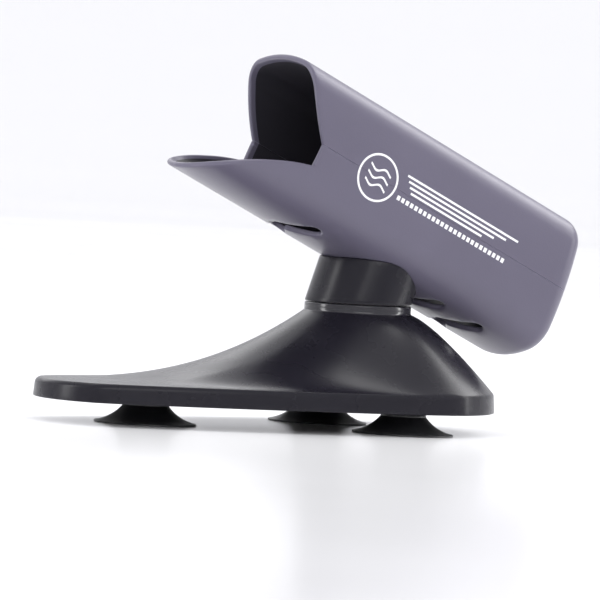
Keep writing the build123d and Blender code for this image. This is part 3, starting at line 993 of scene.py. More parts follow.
def mouth_start(sizes, heights, upper):
    """Where the mouth's edge lies along the tube, for heights across it."""
    if upper:
        points = ((sizes.notch_x, sizes.notch_z), sizes.arch_middle, sizes.arch_top)
    else:
        points = (sizes.chamfer_foot, sizes.lip_crest, sizes.lip_tip)
    along, across = arc_samples(*[to_tube(sizes, point) for point in points])
    if not upper:
        along = np.concatenate([[0.0], along])
        across = np.concatenate([[0.0], across])
    order = np.argsort(across)
    return np.interp(heights, across[order], along[order])


def end_place(sizes, heights):
    """Where the tilted end wall lies along the tube."""
    return sizes.length - heights * math.tan(sizes.end_tilt)


def exit_points(sizes, points, grow=0.0):
    """Points round the cord exit that face the given section points."""
    half_w, half_h = sizes.exit_width / 2 + grow, sizes.exit_height / 2 + grow
    corner = sizes.exit_corner + grow
    result = []
    for y, h in points:
        turn = math.atan2(h, y)
        cos, sin = math.cos(turn), math.sin(turn)
        reach = min(half_w / max(abs(cos), 1e-9), half_h / max(abs(sin), 1e-9))
        px, py = abs(cos) * reach, abs(sin) * reach
        if px > half_w - corner and py > half_h - corner:
            cx, cy = half_w - corner, half_h - corner
            along = abs(cos) * cx + abs(sin) * cy
            apart = along * along - (cx * cx + cy * cy - corner * corner)
            reach = along + math.sqrt(max(0.0, apart))
        result.append((cos * reach, sin * reach))
    return np.array(result)


def tube_half(sizes, upper):
    """Rows of one half shell: outside from mouth to exit, then inside back to the mouth."""
    points, normals = section_halves(sizes, upper)
    columns = len(points)
    wall, rim, seam = sizes.wall, sizes.rim_round, sizes.seam
    start = mouth_start(sizes, points[:, 1], upper)
    strides = np.linalg.norm(np.diff(points, axis=0), axis=1)
    length_round = np.concatenate([[0.0], np.cumsum(strides)])
    slant = np.sqrt(1.0 + np.gradient(start, length_round) ** 2)
    slant = np.minimum(slant, 3.0)
    outer_bevel = np.zeros(columns)
    outer_bevel[[0, -1]] = seam
    lift = np.zeros(columns)
    lift[[0, -1]] = 0.00004 if upper else -0.00004

    def row(inset, along):
        return row_of(points - normals * np.broadcast_to(inset, (columns,))[:, None], along)

    def row_of(section, along):
        return np.stack([along, section[:, 0], section[:, 1] + lift], axis=1)

    outside, inside = [], []
    for setin, setback in reversed(quarter(rim, MOUTH_STEPS)):
        outside.append(row(setin + outer_bevel, start + slant * setback))
        inside.append(row(wall - setin, start + slant * setback))
    end_r = sizes.end_round
    end_inner = end_r - wall + 0.0002
    body_end = end_place(sizes, points[:, 1]) - end_r
    for share in np.linspace(0.0, 1.0, 42)[1:]:
        blend = share ** 1.15
        along = (start + slant * rim) * (1.0 - blend) + body_end * blend
        outside.append(row(outer_bevel, along))
        inside.append(row(wall, along))
    turned_in = [pair for pair in quarter(end_r, 14)[1:] if pair[0] < end_r * 0.80]
    for setin, setback in turned_in:
        flat = points - normals * (setin + outer_bevel)[:, None]
        outside.append(row_of(flat, end_place(sizes, flat[:, 1]) - setback))
        share = setin / end_r
        inner_setin = wall + end_inner * share
        inner_back = end_inner * (1.0 - math.sqrt(max(0.0, 1.0 - (1.0 - share) ** 2)))
        flat = points - normals * inner_setin
        inside.append(row_of(flat, end_place(sizes, flat[:, 1]) - wall - inner_back))
    exit_round = 0.0007
    near = exit_round * 0.3
    for grow, drop in ((exit_round, 0.0), (near, near), (0.0, exit_round)):
        flat = exit_points(sizes, points, grow)
        outside.append(row_of(flat, end_place(sizes, flat[:, 1]) - drop))
        inside.append(row_of(flat, end_place(sizes, flat[:, 1]) - wall + drop))
    return outside, inside


def tube_world(sizes, local):
    """Points on the tube's own axes (along, Y, across), in the holder's frame."""
    cos, sin = math.cos(sizes.slope), math.sin(sizes.slope)
    x = SWIVEL_X + sizes.notch_x + local[..., 0] * cos + local[..., 2] * sin
    z = sizes.notch_z - local[..., 0] * sin + local[..., 2] * cos
    return np.stack([x, local[..., 1], z], axis=-1)


def half_shell_mesh(name, sizes, upper):
    """One half of the tube as a closed mesh."""
    outside, inside = tube_half(sizes, upper)
    rows = outside + inside[::-1]
    points = tube_world(sizes, np.stack(rows))
    columns = points.shape[1]
    faces = grid_faces(len(rows), columns, True, False)
    count = len(outside)
    for column in (0, columns - 1):
        for step in range(count - 1):
            outer = step * columns + column
            inner = (len(rows) - 1 - step) * columns + column
            faces.append((outer, outer + columns, inner - columns, inner))
    mesh = mesh_from_rows(name, points, faces)
    # The inside faces take the second finish, darker as painted shade for the tube's unlit inside
    last_inner = len(rows) - MOUTH_STEPS - 2
    for index in range(count * (columns - 1), last_inner * (columns - 1)):
        mesh.polygons[index].material_index = 1
    return settle_mesh(mesh)


def slot_cutter(tube, vents):
    """One flat slot cutter along X: straight through the wall, flaring into both lips."""
    half_core, half_wall, lip = (vents.length - vents.width) / 2.0, tube.wall / 2.0, vents.lip
    steps = 20
    turns = np.linspace(-math.pi / 2.0, math.pi / 2.0, steps)
    bar = np.linspace(half_core, -half_core, steps)[1:-1]
    side = np.zeros(steps - 2)
    along = np.concatenate([np.full(steps, half_core), bar, np.full(steps, -half_core), -bar])
    round_x = np.concatenate([np.cos(turns), side, -np.cos(turns), side])
    round_y = np.concatenate([np.sin(turns), side + 1.0, -np.sin(turns), side - 1.0])
    columns = len(along)
    clear = 0.0004  # how far the cutter stands out of the wall on each side
    flare = 3.7  # how fast it widens once the lip's rounding is spent
    rows = []
    for depth in np.linspace(-half_wall - clear, half_wall + clear, 27):
        into = max(0.0, abs(depth) - half_wall + lip)
        held = min(into, lip * 0.965)
        rounding = lip - math.sqrt(lip * lip - held * held)
        radius = vents.width / 2.0 + rounding + (into - held) * flare
        level = np.full(columns, depth)
        rows.append(np.stack([along + radius * round_x, radius * round_y, level], axis=1))
    core = np.stack([along, np.zeros(columns)], axis=1)
    caps = []
    for edge in (rows[0], rows[-1]):
        shrunk = [edge[:, :2] * share + core * (1.0 - share) for share in (0.66, 0.33, 0.0)]
        caps.append([np.column_stack([flat, edge[:, 2]]) for flat in shrunk])
    rows = caps[0][::-1] + rows + caps[1]
    faces = grid_faces(len(rows), columns, False, True)
    return settle_mesh(mesh_from_rows("slot_cutter", rows, faces))


def vent_tree():
    """A tree that puts a slot at every point, slanted to the point's own side of the keel."""
    inputs = (
        ("Places", "Geometry"), ("Slot", "Object"), ("Turn", "Float"), ("Material", "Material"),
    )
    tree = new_tree("Vent slots", inputs, "Cutters")
    nodes = tree.nodes
    given = nodes.new("NodeGroupInput")
    result = nodes.new("NodeGroupOutput")

    slot = nodes.new("GeometryNodeObjectInfo")
    slot.label = "The slot's shape"
    place = nodes.new("GeometryNodeInputPosition")
    place.label = "Point along the keel"
    parts = nodes.new("ShaderNodeSeparateXYZ")
    hand = nodes.new("ShaderNodeMath")
    hand.label = "Left or right"
    hand.operation = "SIGN"
    angle = nodes.new("ShaderNodeMath")
    angle.label = "Chevron angle"
    angle.operation = "MULTIPLY"
    spin = nodes.new("ShaderNodeCombineXYZ")
    copies = nodes.new("GeometryNodeInstanceOnPoints")
    copies.label = "One slot at each point"
    real = nodes.new("GeometryNodeRealizeInstances")
    paint = nodes.new("GeometryNodeSetMaterial")
    spread_nodes(tree, 5)

    wires = (
        (given, "Slot", slot, "Object"),
        (place, "Position", parts, "Vector"),
        (parts, "Y", hand, 0),
        (hand, 0, angle, 0),
        (given, "Turn", angle, 1),
        (angle, 0, spin, "Z"),
        (given, "Places", copies, "Points"),
        (slot, "Geometry", copies, "Instance"),
        (spin, "Vector", copies, "Rotation"),
        (copies, "Instances", real, "Geometry"),
        (real, "Geometry", paint, "Geometry"),
        (given, "Material", paint, "Material"),
        (paint, "Geometry", result, "Cutters"),
    )
    wire_up(tree, wires)
    return tree


def onto_keel(tube, flat):
    """Lays flat points (along, across, inwards from mid-wall) onto the tube's underside."""
    points, normals = section_halves(tube, False)
    across = flat[:, 1]
    outer = np.stack([np.interp(across, points[:, 0], points[:, part]) for part in (0, 1)], axis=1)
    out = np.stack([np.interp(across, points[:, 0], normals[:, part]) for part in (0, 1)], axis=1)
    out /= np.linalg.norm(out, axis=1)[:, None]
    laid = outer - out * (tube.wall / 2.0 + flat[:, 2])[:, None]
    return tube_world(tube, np.column_stack([flat[:, 0], laid]))


def cut_vents(piece, tube, vents):
    """Cuts the rounded slots through the keel, first one side's and then the other's."""
    slot = put_in_scene("slot_cutter", slot_cutter(tube, vents))
    tree = vent_tree()
    for hand in (1.0, -1.0):
        places = [(along, hand * vents.spread, 0.0) for along in vents.places]
        cutter = put_in_scene("vent_cutters", points_mesh("vent_cutters", places))
        values = {"Slot": slot, "Turn": vents.turn, "Material": finish_for("tube_plastic")}
        mesh = run_tree(cutter, tree, values)
        flat = np.empty(len(mesh.vertices) * 3)
        mesh.vertices.foreach_get("co", flat)
        mesh.vertices.foreach_set("co", onto_keel(tube, flat.reshape(-1, 3)).ravel())
        settle_mesh(mesh)
        combine(piece, cutter, "DIFFERENCE")
    bpy.data.objects.remove(slot)
    settle_mesh(piece.data)


class HOLDER_OT_tube_halves(Operator):
    """Build the tube's two half shells, with the mouth, the lip and the vents"""

    bl_idname = "holder.tube_halves"
    bl_label = "Tube halves"
    bl_options = {"REGISTER", "UNDO"}

    def execute(self, context):
        tube, vents = context.scene.holder_tube, context.scene.holder_vents
        plan = (("tube_upper_half", "upper_shell", True), ("tube_lower_half", "lower_shell", False))
        for name, node, upper in plan:
            mesh = half_shell_mesh(name, tube, upper)
            mesh.materials.append(finish_for("tube_plastic"))
            mesh.materials.append(finish_for("tube_inside"))
            piece = put_in_scene(name, mesh)
            if not upper:
                cut_vents(piece, tube, vents)
            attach(piece, "head")
            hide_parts(node)
        return {"FINISHED"}


# ---------------------------------------------------------------- neck


NECK_COLUMNS = 192


def neck_ring(neck, tube, inset, height, drop):
    """A ring of the neck at a height, or under the tube's keel if height is None."""
    angle = np.arange(NECK_COLUMNS) * 2.0 * math.pi / NECK_COLUMNS
    keel, _ = section_halves(tube, False)
    slope_cos, slope_sin = math.cos(tube.slope), math.sin(tube.slope)
    first_guess = NECK_FOOT + 0.014
    z = np.full(NECK_COLUMNS, first_guess if height is None else height)
    for _ in range(1 if height is not None else 16):
        rise = z - NECK_FOOT
        radius = neck.radius + rise * neck.flare - inset
        x = rise * math.tan(neck.lean) + radius * np.cos(angle)
        y = radius * np.sin(angle)
        if height is None:
            across = (x - tube.notch_x) * slope_sin + (z - tube.notch_z) * slope_cos
            target = np.interp(y, keel[:, 0], keel[:, 1])
            z = z + (target - drop - across) / (slope_cos + math.tan(neck.lean) * slope_sin)
    return np.stack([SWIVEL_X + x, y, z], axis=1)


class HOLDER_OT_neck(Operator):
    """Build the leaning neck, trimmed to the tube's underside"""

    bl_idname = "holder.neck"
    bl_label = "Neck"
    bl_options = {"REGISTER", "UNDO"}

    def execute(self, context):
        neck, tube = context.scene.holder_neck, context.scene.holder_tube
        foot, edge, fit = NECK_FOOT, neck.edge_round, 0.00012
        rows = []
        top = neck_ring(neck, tube, 0.0, None, fit + edge)
        low = neck_ring(neck, tube, 0.0, foot + 0.0005, 0.0)
        for setin, setback in ((0.0005, 0.0), (0.00015, 0.00015), (0.0, 0.0005)):
            rows.append(neck_ring(neck, tube, setin, foot + setback, 0.0))
        for share in np.linspace(0.0, 1.0, 14)[1:]:
            rows.append(low + (top - low) * share)
        for setin, setback in quarter(edge, 5)[1:]:
            rows.append(neck_ring(neck, tube, setin, None, fit + setback))
        rows.append(neck_ring(neck, tube, neck.wall, None, fit))
        inner_top = rows[-1]
        inner_low = neck_ring(neck, tube, neck.wall, foot + neck.floor, 0.0)
        for share in np.linspace(0.0, 1.0, 8)[1:]:
            rows.append(inner_top + (inner_low - inner_top) * share)
        for height in (foot + neck.floor, foot):
            hole = neck_ring(neck, tube, 0.0, height, 0.0)
            middle_x = SWIVEL_X + (height - foot) * math.tan(neck.lean)
            out = hole - np.array([middle_x, 0.0, height])
            out /= np.linalg.norm(out, axis=1)[:, None]
            rows.append(out * neck.bolt_radius + np.array([SWIVEL_X, 0.0, height]))
        faces = grid_faces(len(rows), NECK_COLUMNS, True, True)
        mesh = settle_mesh(mesh_from_rows("neck_body", rows, faces))
        mesh.materials.append(finish_for("base_plastic"))
        piece = put_in_scene("neck_body", mesh)
        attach(piece, "head")
        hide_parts("neck")
        return {"FINISHED"}


# ---------------------------------------------------------------- suction cups


def turned_tree():
    """A tree that turns a profile about Z and puts a copy at every point."""
    inputs = (
        ("Places", "Geometry"), ("Profile", "Object"), ("Points", "Int"), ("Segments", "Int"),
        ("Material", "Material"),
    )
    tree = new_tree("Turned cups", inputs, "Cups")
    nodes = tree.nodes
    given = nodes.new("NodeGroupInput")
    result = nodes.new("NodeGroupOutput")

    sheet = nodes.new("GeometryNodeMeshGrid")
    sheet.label = "Sheet to roll up"
    sheet.inputs["Size X"].default_value = 1.0
    sheet.inputs["Size Y"].default_value = 1.0
    spot = nodes.new("GeometryNodeInputPosition")
    parts = nodes.new("ShaderNodeSeparateXYZ")
    last = nodes.new("ShaderNodeMath")
    last.label = "Last profile point"
    last.operation = "SUBTRACT"
    last.inputs[1].default_value = 1.0
    share = nodes.new("ShaderNodeMath")
    share.label = "Share of the profile"
    share.operation = "ADD"
    share.inputs[1].default_value = 0.5
    number = nodes.new("ShaderNodeMath")
    number.label = "Profile point"
    number.operation = "MULTIPLY"
    whole = nodes.new("ShaderNodeMath")
    whole.operation = "ROUND"
    profile = nodes.new("GeometryNodeObjectInfo")
    profile.label = "The profile"
    profile_spot = nodes.new("GeometryNodeInputPosition")
    sample = nodes.new("GeometryNodeSampleIndex")
    sample.label = "Read the profile"
    sample.data_type = "FLOAT_VECTOR"
    sample.domain = "POINT"
    turn = nodes.new("ShaderNodeMath")
    turn.label = "Turn about the axis"
    turn.operation = "MULTIPLY"
    turn.inputs[1].default_value = 2.0 * math.pi
    spun = nodes.new("ShaderNodeVectorRotate")
    spun.label = "Turn the profile"
    spun.rotation_type = "Z_AXIS"
    roll = nodes.new("GeometryNodeSetPosition")
    roll.label = "Roll the sheet"
    weld = nodes.new("GeometryNodeMergeByDistance")
    weld.label = "Close seam and poles"
    weld.inputs["Distance"].default_value = 1e-6
    copies = nodes.new("GeometryNodeInstanceOnPoints")
    real = nodes.new("GeometryNodeRealizeInstances")
    paint = nodes.new("GeometryNodeSetMaterial")

    spread_nodes(tree, 10)

    wires = (
        (given, "Points", sheet, "Vertices X"),
        (given, "Segments", sheet, "Vertices Y"),
        (spot, "Position", parts, "Vector"),
        (given, "Points", last, 0),
        (parts, "X", share, 0),
        (share, 0, number, 0),
        (last, 0, number, 1),
        (number, 0, whole, 0),
        (given, "Profile", profile, "Object"),
        (profile, "Geometry", sample, "Geometry"),
        (profile_spot, "Position", sample, "Value"),
        (whole, 0, sample, "Index"),
        (parts, "Y", turn, 0),
        (sample, "Value", spun, "Vector"),
        (turn, 0, spun, "Angle"),
        (sheet, "Mesh", roll, "Geometry"),
        (spun, "Vector", roll, "Position"),
        (roll, "Geometry", weld, "Geometry"),
        (given, "Places", copies, "Points"),
        (weld, "Geometry", copies, "Instance"),
        (copies, "Instances", real, "Geometry"),
        (real, "Geometry", paint, "Geometry"),
        (given, "Material", paint, "Material"),
        (paint, "Geometry", result, "Cups"),
    )
    wire_up(tree, wires)
    return tree


def cup_profile(cup):
    """The cup's outline from the axis underneath, round the lip and up to the axis on top."""
    profile = []
    under = arc_samples((0.0, 0.0034), (0.013, 0.0025), (cup.radius - 0.0014, 0.0), 18)
    profile += zip(*under)
    lip = 0.00035
    for inset, rise in ((lip, 0.0), (lip * 0.3, lip * 0.3), (0.0, lip), (lip * 0.3, lip * 2.0)):
        profile.append((cup.radius - inset, rise))
    neck = (cup.neck_radius, cup.shoulder)
    profile += zip(*arc_samples((cup.radius - 0.0004, 0.0008), (0.0166, 0.0039), neck, 26))
    for inset, drop in ((0.0, 0.0005), (0.00015, 0.00015), (0.0005, 0.0), (cup.neck_radius, 0.0)):
        profile.append((cup.neck_radius - inset, cup.seat - drop))
    return profile


def cup_spots():
    """The middle of each cup, from the CAD."""
    spots = []
    for node in ("suction_cup_toe", "suction_cup_left", "suction_cup_right"):
        low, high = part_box(node)
        spots.append(((low.x + high.x) / 2.0, (low.y + high.y) / 2.0))
    return spots


class HOLDER_OT_suction_cups(Operator):
    """Build the three rubber suction cups"""

    bl_idname = "holder.suction_cups"
    bl_label = "Suction cups"
    bl_options = {"REGISTER", "UNDO"}

    def execute(self, context):
        cup = context.scene.holder_cups
        profile = cup_profile(cup)
        outline = [(x, 0.0, z) for x, z in profile]
        shape = put_in_scene("cup_profile", points_mesh("cup_profile", outline))
        places = [(x, y, 0.0) for x, y in cup_spots()]
        cups = put_in_scene("suction_cups", points_mesh("suction_cups", places))
        values = {
            "Profile": shape,
            "Points": len(profile),
            "Segments": cup.segments + 1,
            "Material": finish_for("cup_rubber"),
        }
        mesh = run_tree(cups, turned_tree(), values)
        bpy.data.objects.remove(shape)
        settle_mesh(mesh)
        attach(cups, "base")
        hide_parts("suction_cup_toe", "suction_cup_left", "suction_cup_right")
        return {"FINISHED"}


# ---------------------------------------------------------------- bottom cover and screws


SCREW_SPOTS = [(x, y * side) for x, y in ((-0.157, 0.022), (-0.066, 0.044), (0.050, 0.027))
               for side in (1, -1)]
NECK_SCREW_SPOTS = [(along, 0.013 * side) for along in (0.054, 0.079) for side in (1, -1)]
COVER_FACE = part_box("base_plate")[0].z + 0.002


def posts(name, spots, radius, low, high, segments):
    """Upright closed posts at the given places, as one object."""
    work = bmesh.new()
    for x, y in spots:
        place = Matrix.Translation((x, y, (low + high) / 2.0))
        bmesh.ops.create_cone(
            work, cap_ends=True, segments=segments, radius1=radius, radius2=radius,
            depth=high - low, matrix=place,
        )
    mesh = bpy.data.meshes.new(name)
    work.to_mesh(mesh)
    work.free()
    return put_in_scene(name, mesh)


class HOLDER_OT_bottom_cover(Operator):
    """Build the flat bottom cover with its cup bosses, drip rib and screw wells"""

    bl_idname = "holder.bottom_cover"
    bl_label = "Bottom cover"
    bl_options = {"REGISTER", "UNDO"}

    def execute(self, context):
        sizes, screws = context.scene.holder_base, context.scene.holder_screws
        low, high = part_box("base_plate")
        under = COVER_FACE
        gap = 0.0006
        inset = sizes.wall + gap
        rows = [band_outline(sizes, 0.0, inset, height) for height in (high.z, under)]
        rib = ((0.0040, 0.0), (0.0044, 0.0004), (0.0056, 0.0004), (0.0060, 0.0))
        rows += [band_outline(sizes, 0.0, inset + step, under + rise) for step, rise in rib]
        faces = grid_faces(len(rows), sizes.columns, False, True)
        faces.append(tuple(range(sizes.columns)))
        faces.append(tuple(range((len(rows) - 1) * sizes.columns, len(rows) * sizes.columns)))
        mesh = settle_mesh(mesh_from_rows("bottom_cover", rows, faces))
        cover = put_in_scene("bottom_cover", mesh)
        spots = [(SWIVEL_X + x, y) for x, y in SCREW_SPOTS]
        boss_r, past = 0.0126, 0.001
        well_r, hole_r = screws.head_radius + 0.0012, screws.shank_radius + 0.0005
        plan = (
            ("bosses", cup_spots(), boss_r, low.z, high.z - 0.0005, 72, "UNION"),
            ("wells", spots, well_r, under - past, under + 0.00025, 40, "DIFFERENCE"),
            ("holes", spots, hole_r, low.z - past, high.z + past, 28, "DIFFERENCE"),
        )
        for *shape, operation in plan:
            combine(cover, posts(*shape), operation)
        soft = cover.modifiers.new("Soft edges", "BEVEL")
        soft.width = 0.00025
        soft.segments = 2
        soft.limit_method = "ANGLE"
        soft.angle_limit = math.radians(50.0)
        bake_modifiers(cover)
        cover.data.shade_smooth()
        cover.data.set_sharp_from_angle(angle=math.radians(38.0))
        cover.data.materials.clear()
        cover.data.materials.append(finish_for("base_plastic"))
        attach(cover, "base")
        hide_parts("base_plate")
        return {"FINISHED"}


def screw_tree():
    """A tree that puts a pan-head screw with a cross recess at every point."""
    inputs = (
        ("Places", "Geometry"), ("Head Radius", "Float"), ("Head Height", "Float"),
        ("Shank Radius", "Float"), ("Shank Length", "Float"), ("Recess", "Float"),
        ("Direction", "Vector"), ("Material", "Material"),
    )
    tree = new_tree("Pan-head screws", inputs, "Screws")
    nodes = tree.nodes
    given = nodes.new("NodeGroupInput")
    result = nodes.new("NodeGroupOutput")

    head = nodes.new("GeometryNodeMeshCylinder")
    head.label = "Head"
    head.inputs["Vertices"].default_value = 32
    head.inputs["Side Segments"].default_value = 8
    spot = nodes.new("GeometryNodeInputPosition")
    parts = nodes.new("ShaderNodeSeparateXYZ")
    rise = nodes.new("ShaderNodeMath")
    rise.label = "Height in the head"
    rise.operation = "DIVIDE"
    lifted = nodes.new("ShaderNodeMath")
    lifted.label = "From 0 to 1"
    lifted.operation = "ADD"
    lifted.inputs[1].default_value = 0.5
    power = nodes.new("ShaderNodeMath")
    power.label = "Domed edge"
    power.operation = "POWER"
    power.inputs[1].default_value = 4.0
    shrink = nodes.new("ShaderNodeMath")
    shrink.label = "How far it draws in"
    shrink.operation = "MULTIPLY_ADD"
    shrink.inputs[1].default_value = -0.22
    shrink.inputs[2].default_value = 1.0
    dome_x = nodes.new("ShaderNodeMath")
    dome_x.operation = "MULTIPLY"
    dome_y = nodes.new("ShaderNodeMath")
    dome_y.operation = "MULTIPLY"
    half_head = nodes.new("ShaderNodeMath")
    half_head.label = "Half head"
    half_head.operation = "MULTIPLY"
    half_head.inputs[1].default_value = 0.5
    dome_z = nodes.new("ShaderNodeMath")
    dome_z.operation = "ADD"
    domed = nodes.new("ShaderNodeCombineXYZ")
    shape_head = nodes.new("GeometryNodeSetPosition")
    shape_head.label = "Dome the head"
    arm = nodes.new("ShaderNodeMath")
    arm.label = "Length of a recess arm"
    arm.operation = "MULTIPLY"
    arm.inputs[1].default_value = 1.15
    first_size = nodes.new("ShaderNodeCombineXYZ")
    second_size = nodes.new("ShaderNodeCombineXYZ")
    first_arm = nodes.new("GeometryNodeMeshCube")
    first_arm.label = "Recess arm"
    second_arm = nodes.new("GeometryNodeMeshCube")
    second_arm.label = "Crossing arm"
    top = nodes.new("ShaderNodeCombineXYZ")
    top.label = "Top of the head"
    cross = nodes.new("GeometryNodeMeshBoolean")
    cross.label = "Cross"
    cross.operation = "UNION"
    cross.solver = "EXACT"
    lift_cross = nodes.new("GeometryNodeTransform")
    lift_cross.label = "Lift to the top"
    sunk = nodes.new("GeometryNodeMeshBoolean")
    sunk.label = "Sink the cross"
    sunk.operation = "DIFFERENCE"
    sunk.solver = "EXACT"
    shank = nodes.new("GeometryNodeMeshCylinder")
    shank.label = "Shank"
    shank.inputs["Vertices"].default_value = 24
    down = nodes.new("ShaderNodeMath")
    down.label = "Half shank down"
    down.operation = "MULTIPLY"
    down.inputs[1].default_value = -0.5
    below = nodes.new("ShaderNodeCombineXYZ")
    set_shank = nodes.new("GeometryNodeTransform")
    set_shank.label = "Hang the shank"
    whole = nodes.new("GeometryNodeJoinGeometry")
    aim = nodes.new("FunctionNodeAlignRotationToVector")
    aim.label = "Point the heads"
    aim.axis = "Z"
    copies = nodes.new("GeometryNodeInstanceOnPoints")
    real = nodes.new("GeometryNodeRealizeInstances")
    paint = nodes.new("GeometryNodeSetMaterial")

    spread_nodes(tree, 11)

    wires = (
        (given, "Head Radius", head, "Radius"),
        (given, "Head Height", head, "Depth"),
        (spot, "Position", parts, "Vector"),
        (parts, "Z", rise, 0),
        (given, "Head Height", rise, 1),
        (rise, 0, lifted, 0),
        (lifted, 0, power, 0),
        (power, 0, shrink, 0),
        (parts, "X", dome_x, 0),
        (shrink, 0, dome_x, 1),
        (parts, "Y", dome_y, 0),
        (shrink, 0, dome_y, 1),
        (given, "Head Height", half_head, 0),
        (parts, "Z", dome_z, 0),
        (half_head, 0, dome_z, 1),
        (dome_x, 0, domed, "X"),
        (dome_y, 0, domed, "Y"),
        (dome_z, 0, domed, "Z"),
        (head, "Mesh", shape_head, "Geometry"),
        (domed, "Vector", shape_head, "Position"),
        (given, "Head Radius", arm, 0),
        (arm, 0, first_size, "X"),
        (given, "Recess", first_size, "Y"),
        (given, "Head Height", first_size, "Z"),
        (given, "Recess", second_size, "X"),
        (arm, 0, second_size, "Y"),
        (given, "Head Height", second_size, "Z"),
        (first_size, "Vector", first_arm, "Size"),
        (second_size, "Vector", second_arm, "Size"),
        (first_arm, "Mesh", cross, "Mesh 2"),
        (second_arm, "Mesh", cross, "Mesh 2"),
        (given, "Head Height", top, "Z"),
        (cross, "Mesh", lift_cross, "Geometry"),
        (top, "Vector", lift_cross, "Translation"),
        (shape_head, "Geometry", sunk, "Mesh 1"),
        (lift_cross, "Geometry", sunk, "Mesh 2"),
        (given, "Shank Radius", shank, "Radius"),
        (given, "Shank Length", shank, "Depth"),
        (given, "Shank Length", down, 0),
        (down, 0, below, "Z"),
        (shank, "Mesh", set_shank, "Geometry"),
        (below, "Vector", set_shank, "Translation"),
        (sunk, "Mesh", whole, 0),
        (set_shank, "Geometry", whole, 0),
        (given, "Direction", aim, "Vector"),
        (given, "Places", copies, "Points"),
        (whole, 0, copies, "Instance"),
        (aim, "Rotation", copies, "Rotation"),
        (copies, "Instances", real, "Geometry"),
        (real, "Geometry", paint, "Geometry"),
        (given, "Material", paint, "Material"),
        (paint, "Geometry", result, "Screws"),
    )
    wire_up(tree, wires)
    return tree


class HOLDER_OT_screws(Operator):
    """Build the screws of the bottom cover and the screws from tube to neck"""

    bl_idname = "holder.screws"
    bl_label = "Screws"
    bl_options = {"REGISTER", "UNDO"}

    def execute(self, context):
        sizes, tube = context.scene.holder_screws, context.scene.holder_tube
        tree = screw_tree()
        cover_spots = [(SWIVEL_X + x, y, COVER_FACE) for x, y in SCREW_SPOTS]
        keel_r = tube.keel_arc - tube.wall + 0.0006
        seats = []
        for along, y in NECK_SCREW_SPOTS:
            seat = tube.keel_arc - tube.keel - math.sqrt(keel_r * keel_r - y * y)
            seats.append((along, y, seat))
        tube_spots = tube_world(tube, np.array(seats))
        up = (math.sin(tube.slope), 0.0, math.cos(tube.slope))
        down = (0.0, 0.0, -1.0)
        plan = (
            ("cover_screws", cover_spots, sizes.cover_length, down, "base", "base_plate_screws"),
            ("tube_screws", tube_spots, sizes.tube_length, up, "head", "neck_screws"),
        )
        for name, spots, length, direction, body, node in plan:
            piece = put_in_scene(name, points_mesh(name, spots))
            values = {
                "Head Radius": sizes.head_radius, "Head Height": sizes.head_height,
                "Shank Radius": sizes.shank_radius, "Shank Length": length, "Recess": sizes.recess,
                "Direction": direction, "Material": finish_for("zinc_steel"),
            }
            settle_mesh(run_tree(piece, tree, values), 30.0)
            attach(piece, body)
            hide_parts(node)
        return {"FINISHED"}


class HOLDER_OT_inner_parts(Operator):
    """Finish the hidden pivot parts, the washer that the neck turns on and the cups' screws"""

    bl_idname = "holder.inner_parts"
    bl_label = "Inner parts"
    bl_options = {"REGISTER", "UNDO"}

    def execute(self, context):
        for piece in frame["record"]["subparts"]:
            node = frame["nodes"][piece["node"]]
            node.data.materials.clear()
            node.data.materials.append(finish_for(piece["material_slot"]))
        return {"FINISHED"}


# ---------------------------------------------------------------- side print


